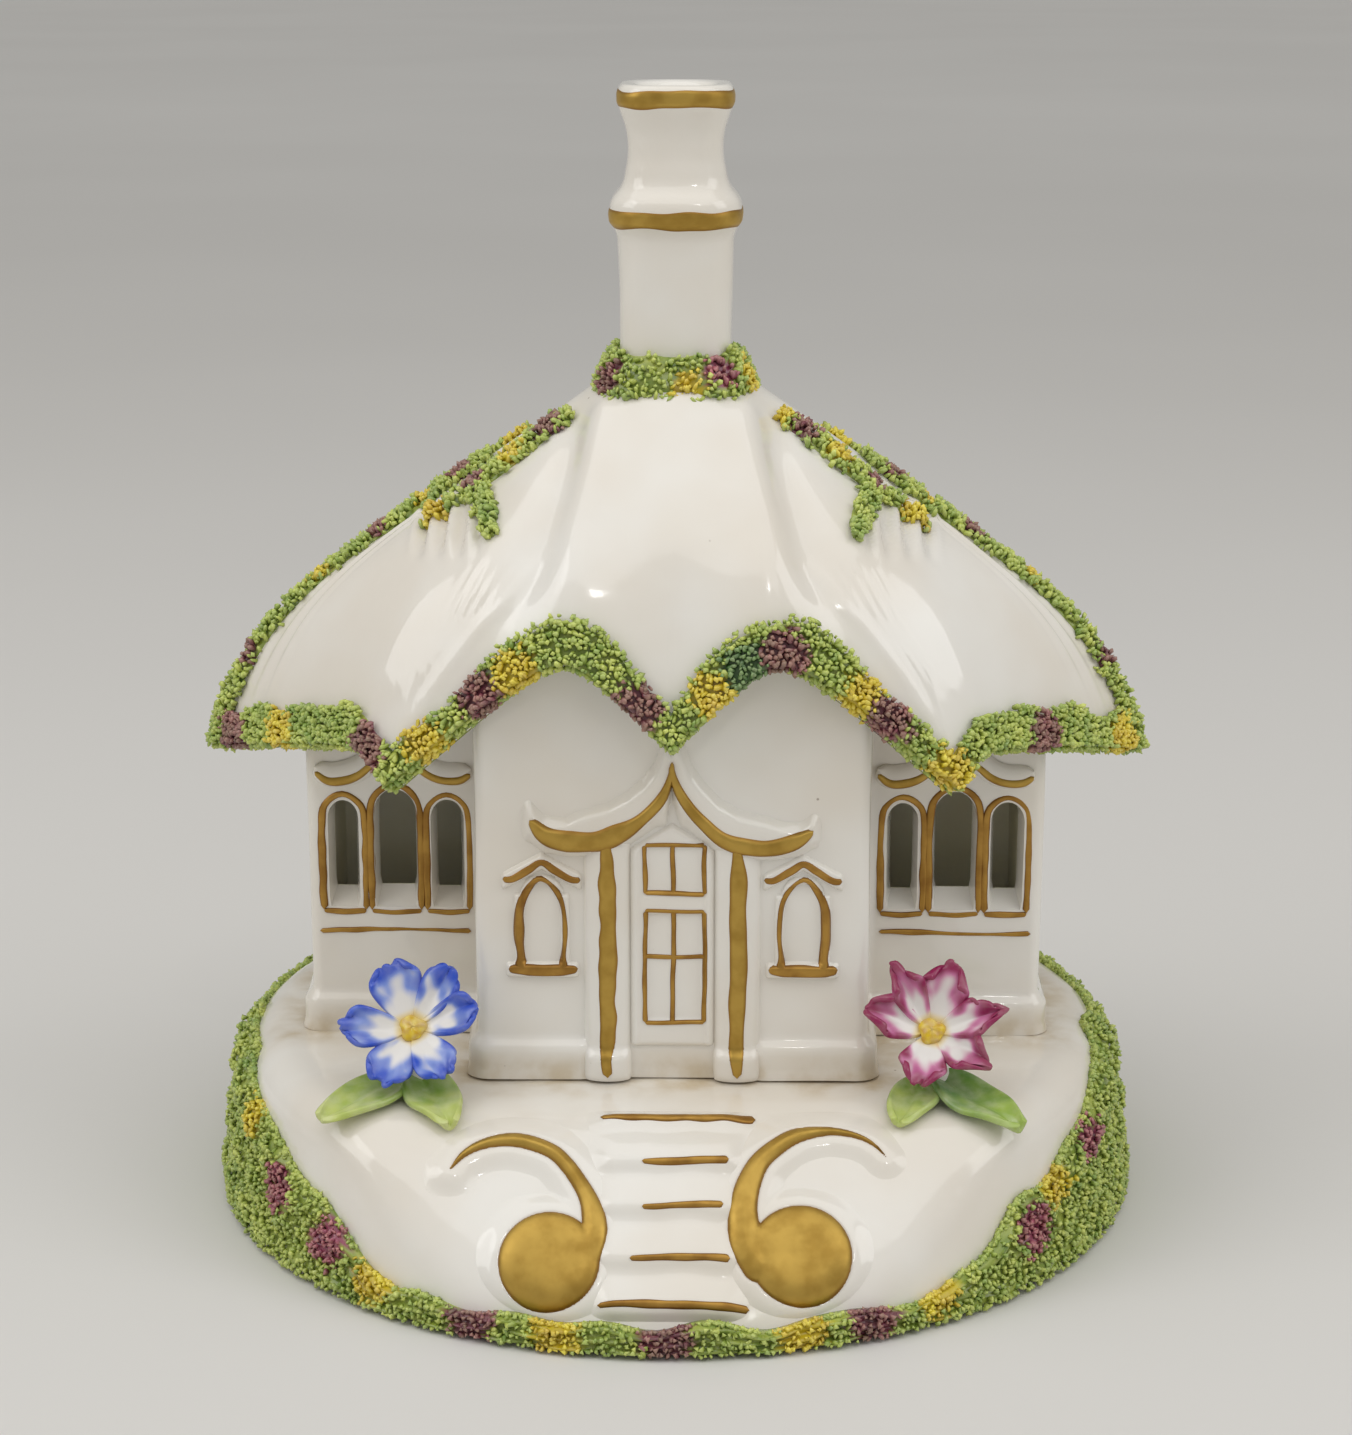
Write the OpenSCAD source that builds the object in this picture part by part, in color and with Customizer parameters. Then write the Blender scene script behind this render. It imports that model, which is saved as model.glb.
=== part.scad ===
// Pastille burner: a hollow china cottage with a draped roof that lifts off a mound base.
// Lengths are millimetres and angles are degrees.
// The origin is the centre of the base on the table. The front faces -Y and +Z is up.

/* [Base] */
// How far the mound's foot reaches past the ends of the wings
base_margin = 11.2; // [10:0.2:16]
// How far the mound's side leans in from the foot to the shoulder
base_batter = 2.2; // [1:0.2:3]
// Height of the plateau that carries the house
base_h = 21; // [19:0.5:25]
// Radius of the rounding between the side and the plateau
base_shoulder = 5; // [3:0.5:7]
// Wall thickness of the hollow base
base_wall = 3.4; // [2.6:0.1:5]
// Depth of the terrace between the front wall and the apron
terrace_d = 11; // [9:0.2:13]
// Slope of the front apron
apron_slope = 45.8; // [42:0.2:50]

/* [Steps and scrolls] */
// Number of steps up the apron
step_count = 4; // [3:1:6]
// Width of the steps
step_w = 13; // [10:0.5:18]
// Length of one step along the slope
step_pitch = 5.9; // [4:0.1:6]
// Height of a step's nosing above its bed
step_relief = 1.4; // [0.8:0.1:2.4]
// Thickness of the bed under the steps
step_bed = 0.5; // [0.3:0.1:1]
// Gap between the steps and the tails of the scrolls
scroll_gap = 0.6; // [0.3:0.1:3]
// Distance of the ball down the slope
scroll_ball_s = 18; // [16:0.2:20]
// Distance of the tail's centre outwards of the ball
scroll_curl_x = 4.4; // [3:0.1:6]
// Distance of the tail's centre up the slope from the ball
scroll_curl_s = 5; // [4:0.1:6]
// Radius of the scroll's ball
scroll_ball_r = 5.9; // [4:0.1:6]
// Radius of the scroll's curling tail
scroll_tail_r = 8.5; // [7:0.1:10]
// Widest half-width of the tail
scroll_tail_w = 2.6; // [1.6:0.1:3.4]
// Height of the scroll above the apron
scroll_relief = 2.2; // [1.2:0.1:3]
// Radius of the raised eye on the ball
scroll_eye_r = 3.4; // [2:0.1:4]
// Height of the raised eye above the ball
scroll_eye_h = 0.7; // [0.4:0.1:1.2]

/* [Pastille cup] */
// Outside radius of the cup
cup_r = 9; // [7.5:0.5:12]
// Height of the cup
cup_h = 7; // [6:0.5:10]
// Wall of the cup
cup_wall = 1.4; // [1:0.1:2]
// Thickness of the cup's floor
cup_floor = 1.8; // [1.2:0.1:2.5]

/* [House] */
// Width of the front block
block_w = 46.8; // [44:0.2:50]
// Depth of the block from front to back
block_d = 50; // [46:0.5:54]
// Width across the two wings
wing_w = 90.4; // [84:0.2:92]
// Depth of the wings from front to back
wing_d = 18.8; // [16:0.2:22]
// Thickness of the walls
wall_t = 2.8; // [2:0.1:3.6]
// Height of the plinth round the foot of the walls
plinth_h = 4.2; // [3:0.2:6]
// How far the plinth stands out
plinth_out = 1; // [0.6:0.1:1.6]
// Gap between the wall tops and the underside of the roof
roof_gap = 0.4; // [0.3:0.05:0.8]

/* [Windows] */
// Distance between the windows of a wing
window_pitch = 6.4; // [6:0.1:7]
// Width of the middle window
window_mid_w = 4.6; // [4.4:0.1:5.2]
// Width of the two outer windows
window_side_w = 3; // [2.4:0.1:3.6]
// Height of the sills above the plateau
window_sill = 18; // [14:0.5:20]
// Height of a window up to the spring of its arch
window_h = 9.6; // [7:0.2:12]
// Half-width of the brow over a row of windows
brow_w = 8.5; // [6:0.1:9.5]
// Height of the brow's ends above the sills
brow_rise = 14.6; // [14.2:0.2:17]
// Height of the brow's peak above its ends
brow_peak = 2.6; // [1.6:0.1:4]
// Depth of the brow's band
brow_band = 1.1; // [0.7:0.1:1.6]

/* [Porch] */
// Height of the canopy's lowest point above the plateau
canopy_h = 29; // [28:0.2:31]
// Height of the canopy's peak above its lowest point
canopy_peak = 10.4; // [6:0.2:12]
// Distance from the centre to the canopy's lowest points
canopy_low_x = 11; // [9:0.2:13]
// Half-width of the canopy out to its turned-up ends
canopy_end_x = 16.2; // [14:0.2:18]
// Height of the turned-up ends above the lowest point
canopy_end_rise = 2.8; // [1:0.2:4]
// Depth of the canopy's band
canopy_band = 2.8; // [1.4:0.1:3.2]
// How far the canopy stands out of the wall
canopy_out = 1.4; // [0.8:0.1:2]
// Sideways distance of each column from the centre
column_x = 7.8; // [7:0.1:9]
// Radius of a column
column_r = 1.7; // [1:0.1:2]
// Width of a column's foot and cap
column_foot_w = 4.4; // [4:0.1:5]
// Height of a column's foot and cap
column_foot_h = 1.8; // [1:0.1:3]
// Width of the door
door_w = 8.4; // [7:0.1:9]
// Height of the door up to its gable
door_h = 24.6; // [20:0.2:26]
// Height of the door's gable
door_gable = 2.6; // [1:0.2:4]
// How far the door stands out of the wall
door_out = 0.6; // [0.4:0.1:1]
// Sideways distance of each niche window from the centre
niche_x = 15.4; // [14.6:0.1:17]
// Width of a niche window
niche_w = 5.3; // [4:0.1:6]
// Height of a niche window's sill above the plateau
niche_sill = 13.4; // [11:0.2:15]
// Height of a niche window up to its arch
niche_h = 8; // [6:0.2:8.6]
// Width of the raised frame round a niche window
niche_frame = 0.8; // [0.5:0.1:1.2]
// How far a niche frame stands out of the wall
niche_out = 0.7; // [0.4:0.1:1.2]

/* [Roof] */
// Height of the flat seat under the chimney above the plateau
roof_h = 80; // [76:0.5:86]
// Radius of the flat seat under the chimney
roof_top_r = 9.4; // [9:0.1:11]
// How far the front and back tips of the eaves overhang the block
eave_front_out = 5.4; // [3:0.1:7]
// Height of the front and back tips above the plateau
eave_front_h = 42; // [41:0.2:45]
// How far the corner tips overhang the sides of the block
eave_corner_out = 9.9; // [6:0.1:10]
// How far the corner tips overhang the front and back of the block
eave_corner_front = 1.8; // [1.4:0.1:4]
// Height of the corner tips above the plateau
eave_corner_h = 36.5; // [35:0.2:39]
// How far the side tips overhang the ends of the wings
eave_side_out = 12.6; // [9:0.1:13]
// Height of the side tips above the plateau
eave_side_h = 34.2; // [33:0.2:39]
// Rise of the front and back arches of the eaves
arch_rise = 11.8; // [8:0.2:13]
// Rise of the low arches on the sloping sides
side_rise = 3.9; // [2:0.1:6]
// Height of the crests that run from the chimney to the front and back arches
crest_rise = 1.3; // [0:0.1:1.6]
// Drop from the roof's outer to its inner surface at the chimney
roof_drop = 2.6; // [2:0.1:4]
// Drop from the roof's outer to its inner surface at the eaves
rim_drop = 0.6; // [0.4:0.1:1.2]
// Thickness of the roof at the eaves
roof_edge = 2.2; // [1.6:0.1:2.4]

/* [Chimney] */
// Height of the chimney above its seat
chimney_h = 35.4; // [30:0.2:40]
// Width of the chimney shaft
shaft_w = 13.5; // [12:0.1:14.5]
// Width of the moulded ring
ring_w = 15.8; // [14.6:0.1:17]
// Width of the neck
neck_w = 11.4; // [10.6:0.1:12.4]
// Width of the rim
rim_w = 13.8; // [13:0.1:15]
// Share of the width that the corners are cut back by
corner_cut = 0.19; // [0.1:0.01:0.28]
// Height of the shaft up to its moulded ring
shaft_h = 16.8; // [14:0.2:19]
// Radius of the flue
flue_r = 4.3; // [3.8:0.1:4.6]

/* [Moss] */
// Thickness of the moss on the base
moss_base_t = 2.4; // [1.2:0.1:3]
// Number of tufts round the moss on the base
moss_tufts = 46; // [36:1:60]
// Depth of the hollows between the tufts, as a share of the moss's thickness
moss_hollow = 0.45; // [0.1:0.05:0.6]
// Height of the bare foot rim below the moss
moss_foot = 0.8; // [0.4:0.1:1.6]
// Angle of the shoulder that the moss climbs
moss_climb = 40; // [20:5:60]
// Height of the strip of moss along the front
moss_front_h = 3; // [2:0.2:6]
// Distance in front of the centre where the moss has sunk to the front strip
moss_low_y = 47; // [44:0.5:50]
// Distance in front of the centre where the moss is half as high as the plateau
moss_half_y = 38; // [34:0.5:42]
// Distance in front of the centre where the moss starts to sink
moss_full_y = 13; // [8:0.5:18]
// Width of the moss along the eaves
moss_eave_w = 4.4; // [3:0.1:6]
// Thickness of the moss along the eaves
moss_eave_t = 1.6; // [1:0.1:1.6]
// Thickness of the garlands on the ribs
moss_rib_t = 1.6; // [1:0.1:2.4]
// Height of the moss collar round the chimney
moss_collar_h = 4; // [2:0.2:6]

/* [Flowers] */
// Radius of a flower
flower_r = 8.3; // [6:0.1:9]
// Number of petals
petal_count = 6; // [5:1:8]
// Thickness of the petals
petal_t = 1; // [0.7:0.1:1.4]
// Radius of the bowl that the petals curve along
petal_bowl_r = 14; // [12:0.5:20]
// Distance of each flower's middle from the sides of the block
flower_side = 7.2; // [6.6:0.1:10]
// Distance of each flower's middle in front of the block
flower_front = 3.8; // [3.6:0.1:6]
// Height of a flower's middle above the plateau
flower_h = 7.2; // [6.8:0.1:10]
// Angle that a flower faces upwards
flower_tilt = 35; // [30:1:50]
// Radius of the stalk under a flower
stalk_r = 1.6; // [1:0.1:2]
// Radius of a flower's eye
flower_eye_r = 2.1; // [1.5:0.1:3]
// Height of a flower's eye
flower_eye_h = 1.3; // [0.8:0.1:2]
// Length of a leaf
leaf_l = 11; // [8:0.2:13]
// Width of a leaf
leaf_w = 5.4; // [4:0.1:7]
// Thickness of a leaf
leaf_t = 0.9; // [0.6:0.1:1]

/* [Hidden] */
$fn = 64;

porcelain = "#f3efe6";
gilding = "#b08a3c";
moss = "#7ea04f";
leaf = "#9dbb58";
blue = "#5f7fe0";
pink = "#c9528f";
yolk = "#e3c22e";
clay = "#cfc3a4";

// How far a cut runs past the face that it opens
past = 1;
// Clearance between pieces that are set side by side
fit_gap = 0.1;
// Steps along a quarter turn
arc_steps = 10;
// Directions of the roof between two tips of the eaves
eave_steps = 12;
eave_count = 8 * eave_steps;
// Share of the way from tip to tip where an arch is highest
arch_apex = 0.385;
side_apex = 0.14;
// Rounding of an arch's top as a share of its half-width
arch_round = 0.25;
// Share of the roof's fall that is an even slope, at the front and at the side tips
front_slope = 0.55;
side_slope = 0.72;
// Powers of the rest of the fall, which turns the eaves down at the tips
front_power = 6;
side_power = 10;
// How straight the roof runs down to the front arches and to the side arches
front_straight = 0.35;
side_straight = 0.4;
// Crests down to the front and back arches: start beside the chimney, as a share of the seat, and half-width
crest_start = 0.95;
crest_w = 2.8;
// Hollows outside the crests: distance and half-width beside the chimney and at the eaves
hollow_out = [3.6, 9];
hollow_w = [2.4, 5];
// Distance in front of the centre from which the crests and hollows have their full height
crest_y = 9;
// Shares of the way down over which they rise from the chimney and sink to the eaves
crest_swell = [0.12, 0.3];
// Extra width of the moss at the top of the front and back arches, as a share
moss_arch = 0.4;
// Places down the roof: 0 is the chimney seat, 1 the top of the eaves' moss, 2 the eaves
roof_steps = [0, 0.13, 0.27, 0.41, 0.54, 0.66, 0.77, 0.87, 0.94, 1, 1.33, 1.67, 2];
moss_step = 9;
// Directions and places between which the garlands run, counted from their tips
rib_half = 1;
rib_step = 2;
hip_first = 3;
hip_last = 6;
hip_step = 5;
// Steepest rise of a wall's top away from a corner
ramp_slope = 4;
// Rows of tufts and hollows up the moss on the base, rows of its back and the gap behind it
moss_rows = 6;
moss_back_rows = 16;
moss_back_gap = 0.12;
// Thickness of a garland at its border, as a share of its crown
garland_border = 0.35;
// Share of the chimney's collar that stands straight up before it leans in
collar_lip = 0.4;
// Directions in which the leaves point
blue_leaf_turns = [208, 296];
pink_leaf_turns = [232, 322];
// Chimney pot above the shaft: shares of the swell from the neck to its ring or rim, and of its height
pot_ring = [[1, 0.08], [1, 0.22], [0.7, 0.27], [0.2, 0.37], [0, 0.54]];
pot_rim = [[0.25, 0.7], [1, 0.82], [1, 0.93], [0.6, 1]];
// Angles at which a scroll's tail leaves the ball and ends
tail_from = 195;
tail_to = 42;
// Thickness of a pagoda band at its peak, as a share of the rest
pagoda_thin = 0.5;
// Share of the half-width at which a brow is lowest, and of its peak to which its ends turn up
brow_low = 0.7;
brow_end = 0.3;

base_foot_r = wing_w / 2 + base_margin;
base_side_r = base_foot_r - base_batter;
apron_y = block_d / 2 + terrace_d;
front_y = -block_d / 2;
wing_front_y = -wing_d / 2;
window_x = (block_w + wing_w) / 4;
porch_w = 2 * (column_x + column_foot_w / 2 + fit_gap);
scroll_inner = max(scroll_ball_r, scroll_tail_r + scroll_tail_w - scroll_curl_x);
scroll_ball_x = step_w / 2 + scroll_gap + scroll_inner;
flower_x = block_w / 2 + flower_side;
flower_y = block_d / 2 + flower_front;
roof_top_z = base_h + roof_h;
chimney_top_z = roof_top_z + chimney_h;

function lerp(a, b, s) = a + (b - a) * s;
function ease(s) = s * s * (3 - 2 * s);
function flip_x(p) = [-p.x, p.y, p.z];
function flip_y(p) = [p.x, -p.y, p.z];
function plan(p) = [p.x, p.y];
function reverse(list) = [for (i = [len(list) - 1:-1:0]) list[i]];

// Eaves: eight tips, numbered from the front towards +X
function tip(k) =
    let (m = k % 8)
    m == 0 ? [0, -block_d / 2 - eave_front_out, base_h + eave_front_h]
    : m == 1 ? [block_w / 2 + eave_corner_out, -block_d / 2 - eave_corner_front, base_h + eave_corner_h]
    : m == 2 ? [wing_w / 2 + eave_side_out, 0, base_h + eave_side_h]
    : m <= 4 ? flip_y(tip(4 - m))
    : flip_x(tip(8 - m));

function is_front_panel(k) = k % 4 == 0 || k % 4 == 3;
function panel_rise(k) = is_front_panel(k) ? arch_rise : side_rise;
function panel_apex(k) =
    let (apex = is_front_panel(k) ? arch_apex : side_apex)
    k % 4 < 2 ? apex : 1 - apex;
function arch(s, apex) =
    let (u = s < apex ? (apex - s) / apex : (s - apex) / (1 - apex))
    1 - (norm([u, arch_round]) - arch_round) / (norm([1, arch_round]) - arch_round);
function eave_point(k, s) =
    lerp(tip(k), tip(k + 1), s) + [0, 0, panel_rise(k) * arch(s, panel_apex(k))];

// Way the roof falls towards a point of the eaves: its even slope and the power of the rest
function drape(k, s) =
    let (
        sideways = pow(eave_point(k, s).x / tip(2).x, 2),
        straight = (is_front_panel(k) ? front_straight : side_straight) * ease(arch(s, panel_apex(k)))
    )
    [
        lerp(lerp(front_slope, side_slope, sideways), 1, straight),
        lerp(front_power, side_power, sideways)
    ];

// Height of the crests and hollows at a point of the plan, at t of the way down
function bell(u) = exp(-u * u);
function crest(p, t) =
    let (
        out = abs(p.x) - lerp(crest_start * roof_top_r, arch_apex * tip(1).x, t),
        ridge = bell(out / crest_w),
        hollow = bell((out - lerp(hollow_out[0], hollow_out[1], t)) / lerp(hollow_w[0], hollow_w[1], t)),
        facing = ease(min(1, abs(p.y) / crest_y)),
        swell = ease(min(1, max(0, t) / crest_swell[0])) * ease(min(1, max(0, 1 - t) / crest_swell[1]))
    )
    crest_rise * facing * swell * (ridge - hollow);

// Fall of the roof at t of the way from the chimney seat to the eaves
function fall(t, drape) =
    drape[0] * t + (1 - drape[0]) * pow(max(t, 0), drape[1]);

// Drop from the outer to the inner surface at t of the way down
function drop_at(t) = lerp(roof_drop, rim_drop, pow(max(t, 0), 4));

// Share of the way down that the moss along the eaves takes up
function moss_share(k, s) =
    let (
        eave = eave_point(k, s),
        drape = drape(k, s),
        steepness = drape[0] + (1 - drape[0]) * drape[1],
        extra = is_front_panel(k) ? moss_arch * ease(arch(s, panel_apex(k))) : 0
    )
    (1 + extra) * moss_eave_w / norm([norm(plan(eave)) - roof_top_r, steepness * (roof_top_z - eave.z)]);
function way_down(step, moss) =
    step < 1 ? step * (1 - moss) : 1 - moss * (2 - step);

// Point of the roof in direction j, at one of the places down it; depth is 0 outside and 1 inside
function roof_point(j, step, depth) =
    let (
        m = (j + eave_count) % eave_count,
        k = floor(m / eave_steps),
        s = m / eave_steps - k,
        eave = eave_point(k, s),
        eave_r = norm(plan(eave)),
        t = way_down(step, moss_share(k, s)),
        p = plan(eave) / eave_r * lerp(roof_top_r, eave_r - depth * roof_edge, t),
        z = lerp(roof_top_z, eave.z, fall(t, drape(k, s))) + crest(p, t) - depth * drop_at(t)
    )
    [p.x, p.y, z];

// Level direction out of the roof at j
function roof_out(j) =
    let (p = plan(roof_point(j, 0, 0)))
    [p.x, p.y, 0] / norm(p);

function panel_share(p, k) =
    let (a = plan(tip(k)), b = plan(tip(k + 1)))
    cross(a, p) / cross(a - b, p);
function panel_at(p) =
    [for (k = [0:7])
        let (s = panel_share(p, k), q = plan(lerp(tip(k), tip(k + 1), s)))
        if (s >= 0 && s <= 1 && q * p > 0) k][0];

// Height of the roof's underside over a point of the plan
function underside_z(p) =
    let (
        k = panel_at(p),
        s = panel_share(p, k),
        eave = eave_point(k, s),
        t = (norm(p) - roof_top_r) / (norm(plan(eave)) - roof_edge - roof_top_r)
    )
    lerp(roof_top_z, eave.z, fall(t, drape(k, s))) + crest(p, t) - drop_at(t);

// Outline of the cross-shaped plan, moved outwards by a margin, clockwise from the front
function cross_outline(out) =
    let (bx = block_w / 2 + out, by = block_d / 2 + out, wx = wing_w / 2 + out, wy = wing_d / 2 + out)
    [
        [bx, -by], [-bx, -by], [-bx, -wy], [-wx, -wy], [-wx, wy], [-bx, wy],
        [-bx, by], [bx, by], [bx, wy], [wx, wy], [wx, -wy], [bx, -wy]
    ];

// Corners of the outline where a wing meets the block
function is_inner_corner(i) = i % 3 == 2;

// Side and shoulder of the mound, from its foot to its plateau
function mound_side() =
    concat(
        [[base_foot_r, 0]],
        [for (i = [0:arc_steps])
            let (a = 90 * i / arc_steps)
            [base_side_r - base_shoulder * (1 - cos(a)), base_h - base_shoulder * (1 - sin(a))]]
    );

// Point over the mound's side at an angle and a height, moved outwards by a margin
function mound_point(a, z, out) =
    let (
        spring_z = base_h - base_shoulder,
        lean = asin(max(0, (z - spring_z) / base_shoulder)),
        up = min(1, z / spring_z),
        r = lerp(base_foot_r, base_side_r, up) - base_shoulder * (1 - cos(lean)) + out * cos(lean)
    )
    [r * cos(a), r * sin(a), z + out * sin(lean)];

// Height up to which moss covers the base, at a distance behind the centre
function moss_top(y) =
    min(
        base_h - base_shoulder * (1 - sin(moss_climb)),
        lookup(y, [[-moss_low_y, moss_front_h], [-moss_half_y, base_h / 2], [-moss_full_y, base_h]])
    );

// Height of a pagoda's curve: a peak in the middle, two low points at 0 and turned-up ends
function pagoda_z(x, low_x, end_x, peak, end_rise) =
    let (d = abs(x))
    d < low_x ? peak * pow(1 - d / low_x, 1.5) : end_rise * pow((d - low_x) / (end_x - low_x), 1.5);

// Closed solid through a loop of closed rings of points
module ring_solid(rings, inward) {
    count = len(rings);
    n = len(rings[0]);
    faces = [
        for (i = [0:count - 1], j = [0:n - 1])
            let (
                a = i * n + j,
                b = i * n + (j + 1) % n,
                c = (i + 1) % count * n + (j + 1) % n,
                d = (i + 1) % count * n + j
            )
            each inward ? [[a, b, c], [a, c, d]] : [[a, c, b], [a, d, c]]
    ];
    polyhedron([for (ring = rings) each ring], faces, convexity = 10);
}

// Closed solid through a stack of rings with flat ends
module stack_solid(rings) {
    count = len(rings);
    n = len(rings[0]);
    sides = [
        for (i = [0:count - 2], j = [0:n - 1])
            let (a = i * n + j, b = i * n + (j + 1) % n)
            each [[a, a + n, b + n], [a, b + n, b]]
    ];
    bottom = [for (j = [0:n - 1]) j];
    top = [for (j = [n - 1:-1:0]) (count - 1) * n + j];
    polyhedron([for (ring = rings) each ring], concat(sides, [bottom], [top]), convexity = 6);
}

// Garland of moss laid on the roof, between two directions and two of the places down it
module roof_garland(first, last, step_first, step_last) {
    width = last - first;
    length = step_last - step_first;
    row = width + 1;
    back = [
        for (i = [step_first:step_last], j = [first:last])
            roof_point(j, roof_steps[i], 0)
    ];
    crown = [for (j = [0:width]) lerp(garland_border, 1, sin(180 * j / width))];
    front = [
        for (i = [0:length], j = [0:width])
            back[i * row + j] + moss_rib_t * crown[j] * (roof_out(first + j) + [0, 0, 1])
    ];
    size = len(back);
    grid = [
        for (i = [0:length - 1], j = [0:width - 1])
            let (a = i * row + j)
            [a, a + 1, a + row + 1, a + row]
    ];
    border = concat(
        [for (j = [0:width - 1]) [j, j + 1]],
        [for (i = [0:length - 1]) [i * row + width, (i + 1) * row + width]],
        [for (j = [width:-1:1]) [length * row + j, length * row + j - 1]],
        [for (i = [length:-1:1]) [i * row, (i - 1) * row]]
    );
    lower = [for (q = grid) each [[q[0], q[1], q[2]], [q[0], q[2], q[3]]]];
    upper = [for (f = lower) [for (v = reverse(f)) size + v]];
    sides = [for (e = border) each [[e[0], size + e[1], e[1]], [e[0], size + e[0], size + e[1]]]];
    polyhedron(concat(back, front), concat(lower, upper, sides), convexity = 6);
}

// Carries flat shapes onto the apron: y runs up the slope and z out of it
module on_apron() {
    translate([0, -apron_y, base_h])
        rotate([apron_slope, 0, 0])
            children();
}

// Space in front of the apron, moved into the mound by a depth
module apron_space(depth) {
    reach = 2 * base_foot_r;
    on_apron()
        translate([-reach, -reach, -depth])
            cube([2 * reach, 2 * reach, reach]);
}

// Raises a flat shape out of a wall that faces the front; y of the shape becomes the height
module on_wall(y, out) {
    translate([0, y, base_h])
        rotate([90, 0, 0])
            linear_extrude(out)
                children();
}

// Wall from one corner to the next; between its level ends the top follows the underside of the roof.
// An end that runs on is longer by the wall's thickness, to meet a wall that turns outwards.
module wall_plate(a, b, run_on_a, run_on_b) {
    run = norm(b - a);
    low_a = underside_z(a) - roof_gap;
    low_b = underside_z(b) - roof_gap;
    from = run_on_a ? 0 : wall_t;
    to = run - (run_on_b ? 0 : wall_t);
    steps = ceil(to - from);
    top = [
        for (i = [steps:-1:0])
            let (
                s = lerp(from, to, i / steps),
                ramp_a = low_a + ramp_slope * (s - from),
                ramp_b = low_b + ramp_slope * (to - s)
            )
            [s, min(underside_z(lerp(a, b, s / run)) - roof_gap, ramp_a, ramp_b)]
    ];
    foot = [[from - wall_t, base_h], [to + wall_t, base_h]];
    translate([a.x, a.y, 0])
        rotate([90, 0, atan2(b.y - a.y, b.x - a.x)])
            linear_extrude(wall_t)
                polygon(concat(foot, [[to + wall_t, low_b]], top, [[from - wall_t, low_a]]));
}

// Round-headed opening with its sill at the origin
module round_head(w, h) {
    translate([-w / 2, 0])
        square([w, h]);
    translate([0, h])
        circle(d = w);
}

// Pagoda band with its low points at height 0, thinner towards its peak
module pagoda(low_x, end_x, peak, end_rise, band) {
    steps = 2 * arc_steps;
    curve = [
        for (i = [-steps:steps])
            let (x = end_x * i / steps)
            [x, pagoda_z(x, low_x, end_x, peak, end_rise)]
    ];
    half = [for (p = curve) band / 2 * lerp(pagoda_thin, 1, min(1, abs(p.x) / low_x))];
    upper = [for (i = [0:len(curve) - 1]) curve[i] + [0, half[i]]];
    lower = [for (i = [0:len(curve) - 1]) curve[i] - [0, half[i]]];
    polygon(concat(lower, reverse(upper)));
}

module base_mound() {
    hollow_h = base_h - base_wall;
    color(porcelain)
        difference() {
            difference() {
                rotate_extrude()
                    polygon(concat([[0, 0]], mound_side(), [[0, base_h]]));
                apron_space(0);
            }
            difference() {
                translate([0, 0, -past])
                    cylinder(r = base_side_r - base_shoulder, h = hollow_h + past);
                apron_space(base_wall);
            }
        }
}

module front_steps() {
    run = step_count * step_pitch;
    profile = [
        for (k = [0:step_count - 1])
            each [[-k * step_pitch, step_bed], [-(k + 0.5) * step_pitch, step_bed + step_relief]]
    ];
    color(porcelain)
        on_apron()
            translate([-step_w / 2, 0, 0])
                rotate([90, 0, 90])
                    linear_extrude(step_w)
                        polygon(concat([[-run, 0], [0, 0]], profile, [[-run, step_bed]]));
}

// Tapering tail of a scroll, round the centre of its curl
function tail_edge(side, u) =
    let (r = scroll_tail_r + side * scroll_tail_w * (1 - 0.9 * u), a = lerp(tail_from, tail_to, u))
    r * [cos(a), sin(a)];

// Scroll laid on the apron: a ball with a raised eye and a curling tail
module scroll() {
    steps = 2 * arc_steps;
    outer = [for (i = [0:steps]) tail_edge(1, i / steps)];
    inner = [for (i = [steps:-1:0]) tail_edge(-1, i / steps)];
    on_apron()
        translate([scroll_ball_x, -scroll_ball_s, 0]) {
            linear_extrude(scroll_relief) {
                circle(scroll_ball_r);
                translate([scroll_curl_x, scroll_curl_s])
                    polygon(concat(outer, inner));
            }
            cylinder(r = scroll_eye_r, h = scroll_relief + scroll_eye_h);
        }
}

module scroll_right() {
    color(gilding)
        scroll();
}

module scroll_left() {
    color(gilding)
        mirror([1, 0, 0])
            scroll();
}

// Whether a tuft stands at a row and a column of the moss on the base
function is_tuft(row, column) = row % 2 == 1 && (column + floor(row / 2)) % 2 == 0;

module base_moss() {
    columns = 2 * moss_tufts;
    around = [for (j = [0:columns - 1]) 360 * j / columns];
    tops = [for (a = around) moss_top(base_foot_r * sin(a))];
    face = [
        for (i = [0:moss_rows])
            [for (j = [0:columns - 1])
                let (thickness = moss_base_t * (is_tuft(i, j) ? 1 : 1 - moss_hollow))
                mound_point(around[j], lerp(moss_foot, tops[j], i / moss_rows), thickness)]
    ];
    back = [
        for (i = [moss_back_rows:-1:0])
            [for (j = [0:columns - 1])
                mound_point(around[j], lerp(moss_foot, tops[j], i / moss_back_rows), moss_back_gap)]
    ];
    color(moss)
        ring_solid(concat(face, back), false);
}

module pastille_cup() {
    color(clay)
        translate([0, 0, base_h])
            difference() {
                cylinder(r = cup_r, h = cup_h);
                translate([0, 0, cup_floor])
                    cylinder(r = cup_r - cup_wall, h = cup_h);
            }
}

// Turns a flower's own axis from straight up to the way that it faces, on the side given by its sign
module at_flower(side) {
    translate([side * flower_x, -flower_y, base_h + flower_h])
        rotate([90 - flower_tilt, 0, 0])
            children();
}

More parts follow.
